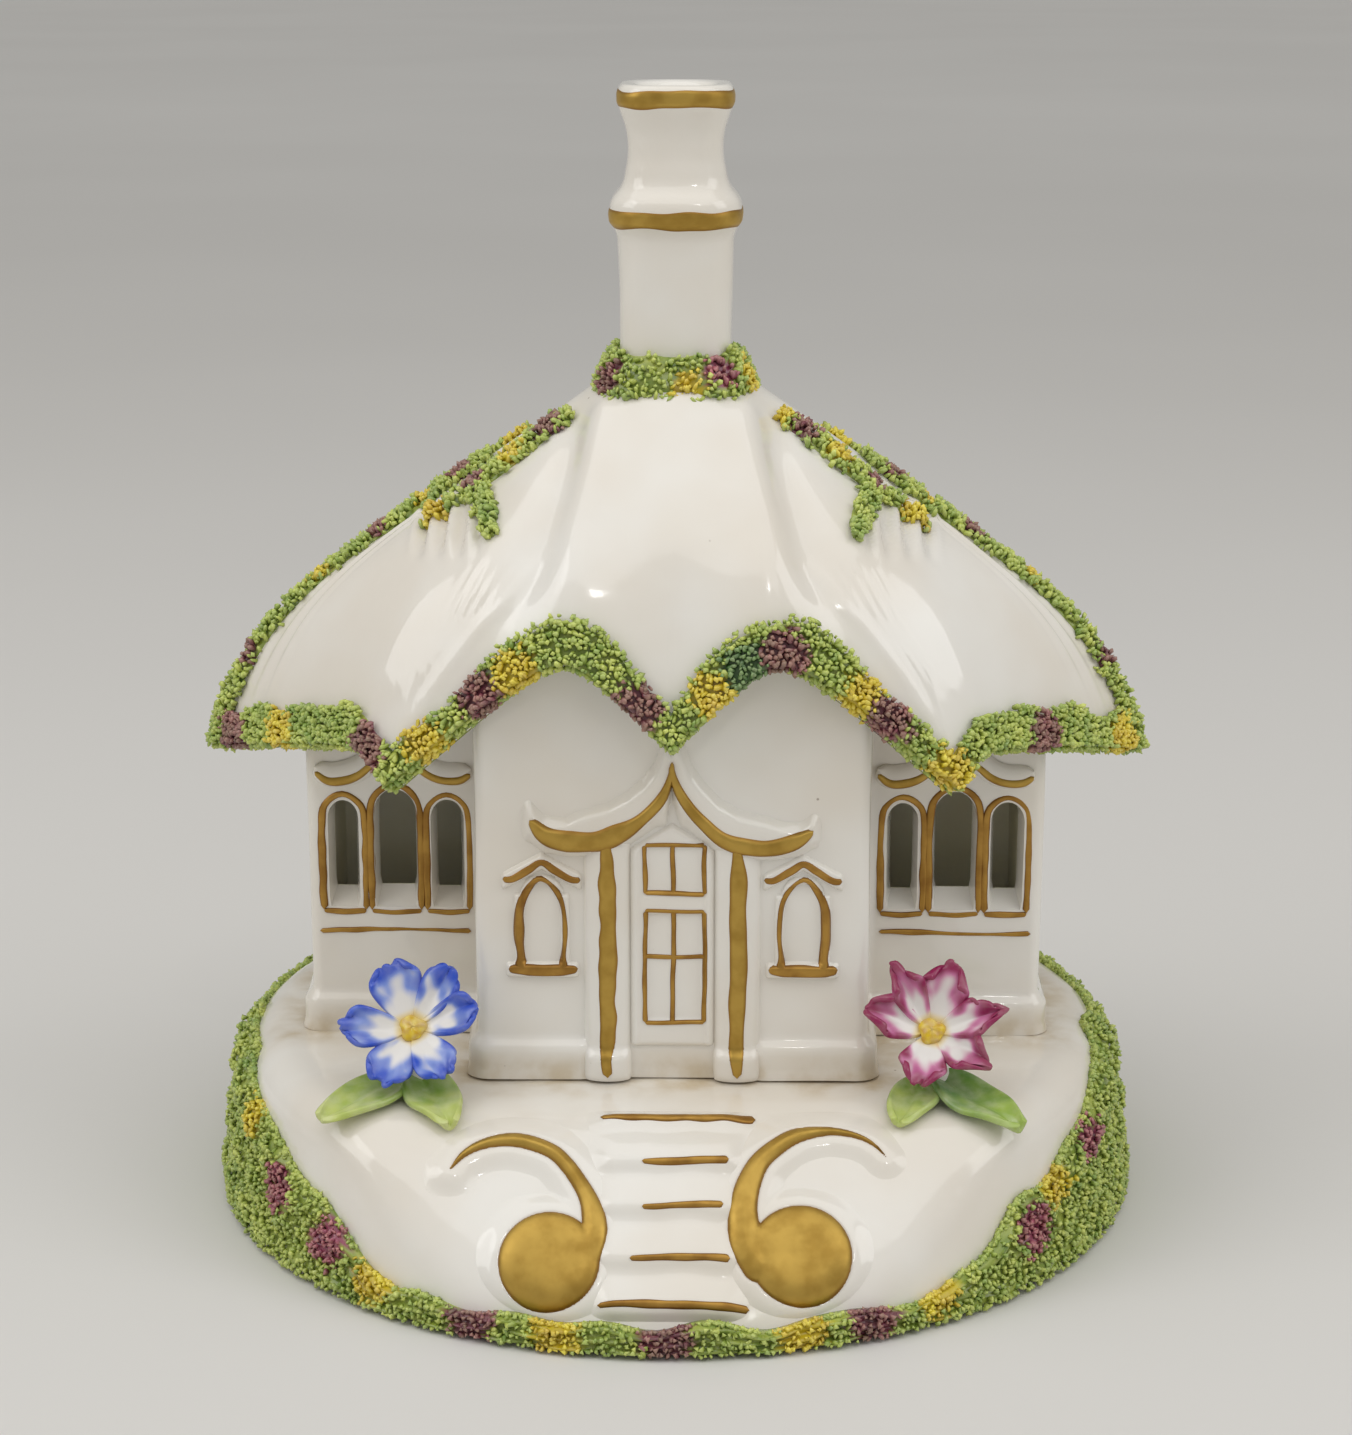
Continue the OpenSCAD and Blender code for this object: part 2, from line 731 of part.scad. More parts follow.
module petals(side) {
    steps = 16 * petal_count;
    outline = [
        for (i = [0:steps - 1])
            let (a = 360 * i / steps, r = flower_r * (0.72 + 0.28 * pow(abs(cos(petal_count * a / 2)), 0.7)))
            r * [cos(a), sin(a)]
    ];
    at_flower(side)
        intersection() {
            linear_extrude(flower_r)
                polygon(outline);
            translate([0, 0, petal_bowl_r])
                difference() {
                    sphere(petal_bowl_r);
                    sphere(petal_bowl_r - petal_t);
                }
        }
    translate([side * flower_x, -flower_y, base_h])
        cylinder(r = stalk_r, h = flower_h - 0.4 * stalk_r);
}

module flower_eye(side) {
    inner_r = petal_bowl_r - petal_t;
    seat = petal_bowl_r - sqrt(pow(inner_r, 2) - pow(flower_eye_r, 2));
    at_flower(side)
        translate([0, 0, seat])
            cylinder(r1 = flower_eye_r, r2 = flower_eye_r * 0.6, h = flower_eye_h);
}

// Pointed leaf lying on the plateau, its stem under a flower and its tip turned by an angle
module leaf_blade(side, turn) {
    bow_r = (pow(leaf_l / 2, 2) + pow(leaf_w / 2, 2)) / leaf_w;
    translate([side * flower_x, -flower_y, base_h])
        rotate([0, 0, turn])
            translate([stalk_r + leaf_l / 2, 0, 0])
                linear_extrude(leaf_t)
                    intersection_for(bow = [-1, 1])
                        translate([0, bow * (bow_r - leaf_w / 2)])
                            circle(bow_r);
}

module blue_petals() {
    color(blue)
        petals(-1);
}

module blue_eye() {
    color(yolk)
        flower_eye(-1);
}

module blue_leaf_left() {
    color(leaf)
        leaf_blade(-1, blue_leaf_turns[0]);
}

module blue_leaf_right() {
    color(leaf)
        leaf_blade(-1, blue_leaf_turns[1]);
}

module pink_petals() {
    color(pink)
        petals(1);
}

module pink_eye() {
    color(yolk)
        flower_eye(1);
}

module pink_leaf_left() {
    color(leaf)
        leaf_blade(1, pink_leaf_turns[0]);
}

module pink_leaf_right() {
    color(leaf)
        leaf_blade(1, pink_leaf_turns[1]);
}

module house_walls() {
    outline = cross_outline(0);
    corners = len(outline);
    color(porcelain)
        difference() {
            union() {
                for (i = [0:corners - 1])
                    wall_plate(
                        outline[i], outline[(i + 1) % corners],
                        is_inner_corner(i), is_inner_corner(i + 1)
                    );
                translate([0, 0, base_h])
                    linear_extrude(plinth_h)
                        difference() {
                            polygon(cross_outline(plinth_out));
                            polygon(cross_outline(-wall_t));
                            translate([-porch_w / 2, front_y - 2 * plinth_out])
                                square([porch_w, 2 * plinth_out]);
                        }
            }
            for (side = [-1, 1], i = [-1:1])
                translate([side * window_x + i * window_pitch, 0, window_sill])
                    on_wall(wing_front_y + wall_t + past, wall_t + 2 * past)
                        round_head(i == 0 ? window_mid_w : window_side_w, window_h);
        }
}

module porch_canopy() {
    color(gilding)
        translate([0, 0, canopy_h])
            on_wall(front_y, canopy_out)
                pagoda(canopy_low_x, canopy_end_x, canopy_peak, canopy_end_rise, canopy_band);
}

// Half-round column on the front wall, in the gap of the plinth and up to the canopy
module column(side) {
    edge_x = column_x + column_foot_w / 2;
    shelf = pagoda_z(edge_x, canopy_low_x, canopy_end_x, canopy_peak, canopy_end_rise);
    height = canopy_h + shelf - canopy_band / 2 - fit_gap;
    color(gilding)
        translate([side * column_x, front_y, base_h]) {
            intersection() {
                cylinder(r = column_r, h = height);
                translate([-column_r, -column_r, 0])
                    cube([2 * column_r, column_r, height]);
            }
            for (z = [0, height - column_foot_h])
                translate([-column_foot_w / 2, -column_r, z])
                    cube([column_foot_w, column_r, column_foot_h]);
        }
}

module column_left() {
    column(-1);
}

module column_right() {
    column(1);
}

module porch_door() {
    color(porcelain)
        translate([0, 0, plinth_h])
            on_wall(front_y, door_out)
                polygon([
                    [-door_w / 2, 0], [door_w / 2, 0], [door_w / 2, door_h],
                    [0, door_h + door_gable], [-door_w / 2, door_h]
                ]);
}

// Blind window: a raised arch with a sill below and a peaked brow above
module niche(side) {
    outer_w = niche_w + 2 * niche_frame;
    crown = niche_h + outer_w / 2;
    color(porcelain)
        translate([side * niche_x, 0, niche_sill])
            on_wall(front_y, niche_out) {
                difference() {
                    round_head(outer_w, niche_h);
                    translate([0, niche_frame])
                        round_head(niche_w, niche_h - niche_frame);
                }
                polygon([
                    [-outer_w / 2, crown - 1.6 * niche_frame], [0, crown - 0.4 * niche_frame],
                    [outer_w / 2, crown - 1.6 * niche_frame], [0, crown + 1.6 * niche_frame]
                ]);
            }
}

module niche_left() {
    niche(-1);
}

module niche_right() {
    niche(1);
}

module window_brow(side) {
    color(gilding)
        translate([side * window_x, 0, window_sill + brow_rise])
            on_wall(wing_front_y, brow_band)
                pagoda(brow_low * brow_w, brow_w, brow_peak, brow_end * brow_peak, brow_band);
}

module window_brow_left() {
    window_brow(-1);
}

module window_brow_right() {
    window_brow(1);
}

module roof() {
    around = [0:eave_count - 1];
    seat = [for (j = around) flue_r * roof_out(j) + [0, 0, roof_top_z]];
    ceiling = [for (p = seat) p - [0, 0, roof_drop]];
    outer = [for (step = roof_steps) [for (j = around) roof_point(j, step, 0)]];
    inner = [for (step = reverse(roof_steps)) [for (j = around) roof_point(j, step, 1)]];
    color(porcelain)
        ring_solid(concat([seat], outer, inner, [ceiling]), false);
}

module eaves_moss() {
    around = [0:eave_count - 1];
    steps = [for (i = [moss_step:len(roof_steps) - 1]) roof_steps[i]];
    back = [for (step = steps) [for (j = around) roof_point(j, step, 0)]];
    crown = [for (step = steps) lerp(garland_border, 1, min(1, 2 * (step - 1)))];
    front = [
        for (i = [len(steps) - 1:-1:0])
            [for (j = around) back[i][j] + moss_eave_t * crown[i] * roof_out(j)]
    ];
    color(moss)
        ring_solid(concat(back, front), true);
}

// Garland down the rib to a side tip
module rib_garland(tip_number) {
    middle = tip_number * eave_steps;
    color(moss)
        roof_garland(middle - rib_half, middle + rib_half, rib_step, moss_step);
}

module rib_garland_right() {
    rib_garland(2);
}

module rib_garland_left() {
    rib_garland(6);
}

// Garland down a hip, counted from its corner tip towards the side tip
module hip_garland(corner, towards) {
    middle = corner * eave_steps;
    first = towards > 0 ? middle + hip_first : middle - hip_last;
    color(moss)
        roof_garland(first, first + hip_last - hip_first, 1, hip_step);
}

module hip_garland_front_right() {
    hip_garland(1, 1);
}

module hip_garland_back_right() {
    hip_garland(3, -1);
}

module hip_garland_back_left() {
    hip_garland(5, 1);
}

module hip_garland_front_left() {
    hip_garland(7, -1);
}

// Square with cut corners, at a height
function shaft_ring(w, z) =
    let (h = w / 2, c = h - corner_cut * w)
    [[h, -c, z], [h, c, z], [c, h, z], [-c, h, z], [-h, c, z], [-h, -c, z], [-c, -h, z], [c, -h, z]];

module chimney_stack() {
    ring_z = roof_top_z + shaft_h;
    pot_h = chimney_top_z - ring_z;
    pot = [for (level = pot_ring) [lerp(neck_w, ring_w, level[0]), ring_z + level[1] * pot_h]];
    rim = [for (level = pot_rim) [lerp(neck_w, rim_w, level[0]), ring_z + level[1] * pot_h]];
    levels = concat([[shaft_w, roof_top_z], [shaft_w, ring_z]], pot, rim);
    color(porcelain)
        difference() {
            stack_solid([for (level = levels) shaft_ring(level[0], level[1])]);
            translate([0, 0, roof_top_z - past])
                cylinder(r = flue_r, h = chimney_top_z - roof_top_z + 2 * past);
        }
}

module chimney_moss() {
    hole = shaft_ring(shaft_w, 0);
    color(moss)
        translate([0, 0, roof_top_z])
            difference() {
                rotate_extrude()
                    polygon([
                        [0, 0], [roof_top_r, 0], [roof_top_r, collar_lip * moss_collar_h],
                        [lerp(roof_top_r, shaft_w / 2, collar_lip), moss_collar_h], [0, moss_collar_h]
                    ]);
                translate([0, 0, -past])
                    linear_extrude(moss_collar_h + 2 * past)
                        polygon([for (p = hole) plan(p)]);
            }
}

base_mound();
front_steps();
scroll_left();
scroll_right();
base_moss();
pastille_cup();
blue_petals();
blue_eye();
blue_leaf_left();
blue_leaf_right();
pink_petals();
pink_eye();
pink_leaf_left();
pink_leaf_right();
house_walls();
porch_canopy();
column_left();
column_right();
porch_door();
niche_left();
niche_right();
window_brow_left();
window_brow_right();
roof();
eaves_moss();
rib_garland_left();
rib_garland_right();
hip_garland_front_left();
hip_garland_front_right();
hip_garland_back_left();
hip_garland_back_right();
chimney_stack();
chimney_moss();
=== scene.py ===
"""Visual model of a china cottage pastille burner on a mossy mound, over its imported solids."""
import logging
import math
from contextlib import contextmanager
from dataclasses import dataclass, field
from enum import Enum
from typing import Callable, Iterator, Sequence

import bpy
import numpy as np
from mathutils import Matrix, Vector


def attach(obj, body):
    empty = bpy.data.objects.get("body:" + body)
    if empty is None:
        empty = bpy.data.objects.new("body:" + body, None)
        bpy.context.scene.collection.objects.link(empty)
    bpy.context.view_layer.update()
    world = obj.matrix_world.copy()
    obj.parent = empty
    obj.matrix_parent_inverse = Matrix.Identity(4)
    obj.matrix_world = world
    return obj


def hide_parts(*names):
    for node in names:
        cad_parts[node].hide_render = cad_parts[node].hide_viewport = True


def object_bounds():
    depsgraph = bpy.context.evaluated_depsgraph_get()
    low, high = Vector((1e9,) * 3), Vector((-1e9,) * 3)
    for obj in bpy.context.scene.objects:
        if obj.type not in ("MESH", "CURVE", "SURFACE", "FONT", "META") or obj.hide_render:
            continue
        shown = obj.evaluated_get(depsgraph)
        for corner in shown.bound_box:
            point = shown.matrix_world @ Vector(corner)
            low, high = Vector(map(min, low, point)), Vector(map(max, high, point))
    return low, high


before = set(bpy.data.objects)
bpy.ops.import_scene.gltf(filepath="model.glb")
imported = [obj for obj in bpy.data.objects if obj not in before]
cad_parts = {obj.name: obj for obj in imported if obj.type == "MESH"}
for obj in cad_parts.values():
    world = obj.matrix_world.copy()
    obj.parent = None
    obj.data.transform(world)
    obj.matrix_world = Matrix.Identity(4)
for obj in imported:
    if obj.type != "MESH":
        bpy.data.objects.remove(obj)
CAD_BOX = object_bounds()

LOG = logging.getLogger("burner")
MM = 0.001  # Metres in a millimetre; shapes below are worked out in millimetres.
TAU = 2 * np.pi
MARGIN = 0.1  # Kept free inside the solids' box.
REACH = [CAD_BOX[1][axis] / MM - MARGIN for axis in range(3)]
PLATEAU = 21.0  # Height of the base's top.
WINDOW_X = 34.3  # Middle of each wing's three windows.
WINDOW_PITCH = 6.4
BASE_MOSS_R = 57.0  # Ring on which the base moss's dabs of colour lie.
TRACK_ROWS = 120  # Places kept along a garland.
RUNGS = 57  # Places kept up from the rim.
TINT = "tint"  # Layer that holds the enamels' colours.

Array = np.ndarray
Piece = bpy.types.Object
Socket = bpy.types.NodeSocket
Colour = tuple[float, float, float]
Triple = tuple[float, float, float]
Surface = Callable[[Array, Array], Array]
Height = Callable[[Array, Array], Array]


def lerp(low: Array, high: Array, share: Array) -> Array:
    """Blend from low to high."""
    return low + (high - low) * share


def ease(share: Array) -> Array:
    """Clip a share to 0..1 and round off both ends of its climb."""
    held = np.clip(share, 0.0, 1.0)
    return held * held * (3.0 - 2.0 * held)


def within(value: Array, low: float, high: float, soft: float) -> Array:
    """Give 1 between two limits and 0 outside, with soft sides.

    Args:
        value: Where to test.
        low: Lower limit, at the middle of its soft side.
        high: Upper limit, at the middle of its soft side.
        soft: Width of each soft side.

    Returns:
        A share between 0 and 1 for every value.
    """
    return ease((value - low) / soft + 0.5) * ease((high - value) / soft + 0.5)


def ripple(a: Array, b: Array, size: float, seed: int) -> Array:
    """Give a smooth irregular wave over two coordinates.

    Args:
        a: First coordinate.
        b: Second coordinate.
        size: Usual length of a wave.
        seed: Choice of the pattern.

    Returns:
        Heights between about -1 and 1.
    """
    draw = np.random.default_rng(seed)
    total = np.zeros(np.broadcast(a, b).shape)
    for _ in range(5):
        turn, pace, start = draw.uniform(0, TAU), draw.uniform(0.7, 1.5), draw.uniform(0, TAU)
        wave = TAU * pace / size
        total = total + np.sin(wave * (a * np.cos(turn) + b * np.sin(turn)) + start)
    return total / 3.0


def round_ripple(r: float, turn: Array, size: float, seed: int, rise: Array = 0.0) -> Array:
    """Give a ripple that closes on itself round a ring.

    Args:
        r: Radius of the ring.
        turn: Angle round it.
        size: Usual length of a wave.
        seed: Choice of the pattern.
        rise: What shifts the pattern, such as the height.

    Returns:
        Heights between about -1 and 1.
    """
    return ripple(r * np.cos(turn), r * np.sin(turn) + rise, size, seed)


def on_ring(r: Array, turn: Array, z: Array) -> Array:
    """Give places from radius, angle and height."""
    return np.stack([r * np.cos(turn), r * np.sin(turn), z], axis=1)


def unit(vectors: Array) -> Array:
    """Scale vectors to length 1."""
    return vectors / np.linalg.norm(vectors, axis=1, keepdims=True)


def blend(first: Sequence[float], second: Sequence[float], share: Array) -> Array:
    """Mix two colours."""
    return lerp(np.array(first), np.array(second), share)


def shade(red: int, green: int, blue: int) -> Colour:
    """Turn a colour as seen, 0 to 255, into the linear one that shaders take."""
    return tuple(float(((c / 255 + 0.055) / 1.055) ** 2.4) for c in (red, green, blue))


def through(points: Sequence[Sequence[float]], count: int) -> Array:
    """Draw a smooth curve through points.

    Args:
        points: The points, each with the same number of values.
        count: How many places to give along the curve.

    Returns:
        The places, evenly spaced by the points' own order.
    """
    knots = np.asarray(points, dtype=float)
    padded = np.vstack([2 * knots[0] - knots[1], knots, 2 * knots[-1] - knots[-2]])
    along = np.linspace(0, len(knots) - 1, count)
    step = np.minimum(along.astype(int), len(knots) - 2)
    s = (along - step)[:, None]
    p0, p1, p2, p3 = (padded[step + k] for k in range(4))
    return 0.5 * (2 * p1 + (p2 - p0) * s + (2 * p0 - 5 * p1 + 4 * p2 - p3) * s**2
                  + (3 * p1 - p0 - 3 * p2 + p3) * s**3)


class Bench:
    """Clean selections and the operator sequences that every piece shares."""

    @staticmethod
    def pick(*pieces: Piece) -> None:
        """Leave edit mode and select only these pieces, the first one active."""
        if bpy.context.object and bpy.context.object.mode != "OBJECT":
            bpy.ops.object.mode_set(mode="OBJECT")
        bpy.ops.object.select_all(action="DESELECT")
        for piece in pieces:
            piece.select_set(True)
        if pieces:
            bpy.context.view_layer.objects.active = pieces[0]

    @staticmethod
    @contextmanager
    def editing(piece: Piece, kind: str = "VERT") -> Iterator[None]:
        """Work on a piece in edit mode with all of it selected.

        Args:
            piece: The piece to work on.
            kind: What is selected: VERT, EDGE or FACE.

        Yields:
            Nothing, while the piece is in edit mode.
        """
        Bench.pick(piece)
        bpy.ops.object.mode_set(mode="EDIT")
        bpy.ops.mesh.select_mode(type=kind)
        bpy.ops.mesh.select_all(action="SELECT")
        yield
        bpy.ops.object.mode_set(mode="OBJECT")

    @staticmethod
    def named(name: str) -> Piece:
        """Name the newest primitive and its mesh.

        Args:
            name: The name to give.

        Returns:
            The primitive.
        """
        piece = bpy.context.object
        piece.name = name
        piece.data.name = name
        return piece

    @staticmethod
    def points(piece: Piece) -> Array:
        """Read a piece's vertices in millimetres.

        Args:
            piece: The piece to read.

        Returns:
            One row per vertex.
        """
        flat = np.empty(len(piece.data.vertices) * 3, dtype=np.float32)
        piece.data.vertices.foreach_get("co", flat)
        return flat.reshape(-1, 3).astype(float) / MM

    @staticmethod
    def place(piece: Piece, points: Array) -> None:
        """Move a piece's vertices to places in millimetres."""
        piece.data.vertices.foreach_set("co", (points * MM).astype(np.float32).ravel())
        piece.data.update()

    @staticmethod
    def weld(piece: Piece, reach: float = 0.002) -> None:
        """Merge vertices that lie within a reach in millimetres."""
        with Bench.editing(piece):
            bpy.ops.mesh.remove_doubles(threshold=reach * MM)

    @staticmethod
    def drop(piece: Piece, gone: Array) -> None:
        """Delete the vertices that are marked.

        Args:
            piece: The piece to cut down.
            gone: Whether each vertex goes.
        """
        with Bench.editing(piece):
            bpy.ops.mesh.select_all(action="DESELECT")
        piece.data.vertices.foreach_set("select", gone)
        bpy.ops.object.mode_set(mode="EDIT")
        bpy.ops.mesh.delete(type="VERT")
        bpy.ops.object.mode_set(mode="OBJECT")

    @staticmethod
    def outwards(piece: Piece) -> None:
        """Point a closed piece's faces outwards."""
        with Bench.editing(piece, "FACE"):
            bpy.ops.mesh.normals_make_consistent(inside=False)

    @staticmethod
    def flip(piece: Piece) -> None:
        """Turn a piece's faces round."""
        with Bench.editing(piece, "FACE"):
            bpy.ops.mesh.flip_normals()

    @staticmethod
    def wrap(name: str, columns: int, rows: int, surface: Surface, closed: bool = False) -> Piece:
        """Lay a grid over a surface and merge its seams and poles.

        Args:
            name: Name of the new piece.
            columns: Faces along the first direction.
            rows: Faces along the second direction.
            surface: Gives places in millimetres for shares 0..1 along both directions.
            closed: Whether the surface closes on itself, so that its faces can be turned outwards.

        Returns:
            The new piece.
        """
        Bench.pick()
        bpy.ops.mesh.primitive_grid_add(x_subdivisions=columns, y_subdivisions=rows, size=1.0)
        piece = Bench.named(name)
        flat = Bench.points(piece) * MM + 0.5
        Bench.place(piece, surface(flat[:, 0], flat[:, 1]))
        Bench.weld(piece)
        if closed:
            Bench.outwards(piece)
        return piece

    @staticmethod
    def loft(name: str, sides: int, profile: Sequence[tuple[float, float]], closed: bool) -> Piece:
        """Extrude a circle up a profile, as on a potter's wheel.

        Args:
            name: Name of the new piece.
            sides: Vertices round the circle.
            profile: Radius and height of each ring in millimetres.
            closed: Whether the last ring is drawn together to a point.

        Returns:
            The new piece.
        """
        Bench.pick()
        first_r, first_z = profile[0]
        bpy.ops.mesh.primitive_circle_add(vertices=sides, radius=first_r * MM,
                                          location=(0, 0, first_z * MM))
        piece = Bench.named(name)
        bpy.ops.object.transform_apply(location=True, rotation=False, scale=False)
        with Bench.editing(piece):
            last_r, last_z = first_r, first_z
            for r, z in profile[1:]:
                lift = (0, 0, (z - last_z) * MM)
                bpy.ops.mesh.extrude_region_move(TRANSFORM_OT_translate={"value": lift})
                bpy.ops.transform.resize(value=(r / last_r, r / last_r, 1), center_override=(0, 0, z * MM))
                last_r, last_z = r, z
            if closed:
                bpy.ops.mesh.merge(type="CENTER")
        return piece

    @staticmethod
    def modify(piece: Piece, kind: str, **settings: object) -> None:
        """Add one modifier with its settings and apply it.

        Args:
            piece: The piece to change.
            kind: Blender's word for the modifier.
            **settings: Values of the modifier's own fields.
        """
        Bench.pick(piece)
        modifier = piece.modifiers.new(kind.lower(), kind)
        for key, value in settings.items():
            setattr(modifier, key, value)
        bpy.ops.object.modifier_apply(modifier=modifier.name)

    @staticmethod
    def smooth(piece: Piece, degrees: float = 180.0) -> None:
        """Shade a piece smooth, but keep edges sharper than an angle.

        Args:
            piece: The piece to shade.
            degrees: Edges that turn by more than this stay sharp.
        """
        Bench.pick(piece)
        if degrees >= 180.0:
            bpy.ops.object.shade_smooth()
        else:
            bpy.ops.object.shade_smooth_by_angle(angle=math.radians(degrees))

    @staticmethod
    def join(name: str, pieces: Sequence[Piece]) -> Piece:
        """Join pieces into one of a new name.

        Args:
            name: Name of the joined piece.
            pieces: The pieces, one or more.

        Returns:
            The joined piece.
        """
        Bench.pick(*pieces)
        if len(pieces) > 1:
            bpy.ops.object.join()
        return Bench.named(name)

    @staticmethod
    def colour(piece: Piece, values: Array) -> None:
        """Store a colour for every vertex of a piece.

        Args:
            piece: The piece to colour.
            values: One linear colour per vertex.
        """
        layer = piece.data.color_attributes.new(TINT, "FLOAT_COLOR", "POINT")
        full = np.ones((len(values), 4), dtype=np.float32)
        full[:, :3] = values
        layer.data.foreach_set("color", full.ravel())

    @staticmethod
    def spread(piece: Piece) -> Array:
        """Read every vertex's place on the grid that the piece was wrapped from.

        Args:
            piece: A piece that was wrapped from a grid.

        Returns:
            Shares 0..1 along both directions, one row per vertex.
        """
        corner = np.empty(len(piece.data.loops), dtype=np.int32)
        piece.data.loops.foreach_get("vertex_index", corner)
        flat = np.empty(2 * len(corner), dtype=np.float32)
        piece.data.uv_layers.active.data.foreach_get("uv", flat)
        places = np.zeros((len(piece.data.vertices), 2))
        places[corner] = flat.reshape(-1, 2)
        return places

    @staticmethod
    def mark(piece: Piece, values: Array) -> None:
        """Store a value for every vertex of a piece as the second part of its UV map.

        Args:
            piece: The piece to mark.
            values: One value per vertex.
        """
        corner = np.empty(len(piece.data.loops), dtype=np.int32)
        piece.data.loops.foreach_get("vertex_index", corner)
        flat = np.stack([np.full(len(corner), 0.5), values[corner]], axis=1)
        piece.data.uv_layers.active.data.foreach_set("uv", flat.astype(np.float32).ravel())

    @staticmethod
    def dress(piece: Piece, finish: "Finish", body: "Body", nodes: Sequence[str] = ()) -> None:
        """Give a piece its finish, its body and the solids that it stands for.

        Args:
            piece: The finished piece.
            finish: Its surface treatment.
            body: The body that it moves with.
            nodes: Names of the solids that it replaces.
        """
        piece.data.materials.clear()
        piece.data.materials.append(finish.material())
        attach(piece, body.value)
        if nodes:
            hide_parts(*nodes)
        LOG.info("%s: %d faces on %s", piece.name, len(piece.data.polygons), body.value)


class Body(Enum):
    """The two pieces that come apart."""

    BASE = "base"
    HOUSE = "house"


class Slot(Enum):
    """Material slots of the record."""

    PORCELAIN = "porcelain"
    GILDING = "gilding"
    MOSS = "moss"
    BLUE = "blue_petal"
    PINK = "pink_petal"
    EYE = "yellow_eye"
    LEAF = "leaf"
    BISCUIT = "biscuit"


class Side(Enum):
    """Left and right as seen from the front, as the sign of x."""

    LEFT = -1
    RIGHT = 1

    @property
    def word(self) -> str:
        """Give the side's name as used in the names of pieces."""
        return self.name.lower()


class NodeSheet:
    """A material's nodes, with short calls that add and join them."""

    def __init__(self, title: str) -> None:
        """Start a material with one principled shader.

        Args:
            title: Name of the material.
        """
        self.material = bpy.data.materials.new(title)
        self.material.use_nodes = True
        self.tree = self.material.node_tree
        self.tree.nodes.clear()
        self.shader = self.tree.nodes.new("ShaderNodeBsdfPrincipled")
        end = self.tree.nodes.new("ShaderNodeOutputMaterial")
        self.tree.links.new(self.shader.outputs[0], end.inputs["Surface"])
        self.place = self.tree.nodes.new("ShaderNodeTexCoord")

    def feed(self, socket: Socket, value: object) -> None:
        """Link or set a socket, whichever the value asks for.

        Args:
            socket: The socket to fill.
            value: A socket to link, or a number or colour to set.
        """
        if isinstance(value, Socket):
            self.tree.links.new(value, socket)
        elif isinstance(value, tuple):
            socket.default_value = (*value, 1.0) if len(value) == 3 and socket.type == "RGBA" else value
        else:
            socket.default_value = value

    def noise(self, scale: float, detail: float = 2.0) -> Socket:
        """Give cloudy noise in the object's own space, scale counted per metre.

        Args:
            scale: How fine the clouds are.
            detail: How many finer layers they have.

        Returns:
            The noise, 0 to 1.
        """
        node = self.tree.nodes.new("ShaderNodeTexNoise")
        node.inputs["Scale"].default_value = scale
        node.inputs["Detail"].default_value = detail
        self.tree.links.new(self.place.outputs["Object"], node.inputs["Vector"])
        return node.outputs["Fac"]

    def cells(self, scale: float) -> Socket:
        """Give the distance to scattered dots in the object's own space.

        Args:
            scale: How close the dots lie.

        Returns:
            The distance.
        """
        node = self.tree.nodes.new("ShaderNodeTexVoronoi")
        node.inputs["Scale"].default_value = scale
        self.tree.links.new(self.place.outputs["Object"], node.inputs["Vector"])
        return node.outputs["Distance"]

    def axes(self, output: str = "Object") -> tuple[Socket, ...]:
        """Split the object's coordinates or its UV map into x, y and z.

        Args:
            output: Which coordinates, Object or UV.

        Returns:
            The x, y and z sockets.
        """
        node = self.tree.nodes.new("ShaderNodeSeparateXYZ")
        self.tree.links.new(self.place.outputs[output], node.inputs[0])
        return tuple(node.outputs)

    def sum(self, operation: str, first: object, second: object = 0.0) -> Socket:
        """Do one arithmetic step.

        Args:
            operation: Blender's word for the step.
            first: First value or socket.
            second: Second value or socket.

        Returns:
            The result.
        """
        node = self.tree.nodes.new("ShaderNodeMath")
        node.operation = operation
        self.feed(node.inputs[0], first)
        self.feed(node.inputs[1], second)
        return node.outputs[0]

    def span(self, value: object, low: float, high: float, start: float, stop: float) -> Socket:
        """Map a value's range smoothly to another range.

        Args:
            value: Socket to read.
            low: Value that gives start.
            high: Value that gives stop.
            start: First end of the result.
            stop: Second end of the result.

        Returns:
            The mapped socket.
        """
        node = self.tree.nodes.new("ShaderNodeMapRange")
        node.interpolation_type = "SMOOTHSTEP"
        for socket, given in zip(node.inputs, (value, low, high, start, stop)):
            self.feed(socket, given)
        return node.outputs[0]

    def mix(self, share: object, first: object, second: object) -> Socket:
        """Blend two colours.

        Args:
            share: 0 gives the first colour and 1 the second.
            first: A colour or socket.
            second: A colour or socket.

        Returns:
            The blend.
        """
        node = self.tree.nodes.new("ShaderNodeMix")
        node.data_type = "RGBA"
        self.feed(node.inputs[0], share)
        self.feed(node.inputs[6], first)
        self.feed(node.inputs[7], second)
        return node.outputs[2]

    def stored(self) -> Socket:
        """Read the colour stored on the piece's vertices.

        Returns:
            The colour.
        """
        node = self.tree.nodes.new("ShaderNodeAttribute")
        node.attribute_name = TINT
        return node.outputs["Color"]

    def relief(self, height: Socket, depth: float, strength: float = 1.0) -> None:
        """Bend the shader's normal by a height, depth in millimetres.

        Args:
            height: Socket that holds the height.
            depth: Millimetres that a height of 1 stands for.
            strength: Share of the bend that is used.
        """
        node = self.tree.nodes.new("ShaderNodeBump")
        node.inputs["Distance"].default_value = depth * MM
        node.inputs["Strength"].default_value = strength
        self.tree.links.new(height, node.inputs["Height"])
        self.tree.links.new(node.outputs[0], self.shader.inputs["Normal"])

    def set(self, **values: object) -> None:
        """Set or link the shader's own sockets, named with underscores for spaces."""
        for key, value in values.items():
            self.feed(self.shader.inputs[key.replace("_", " ")], value)


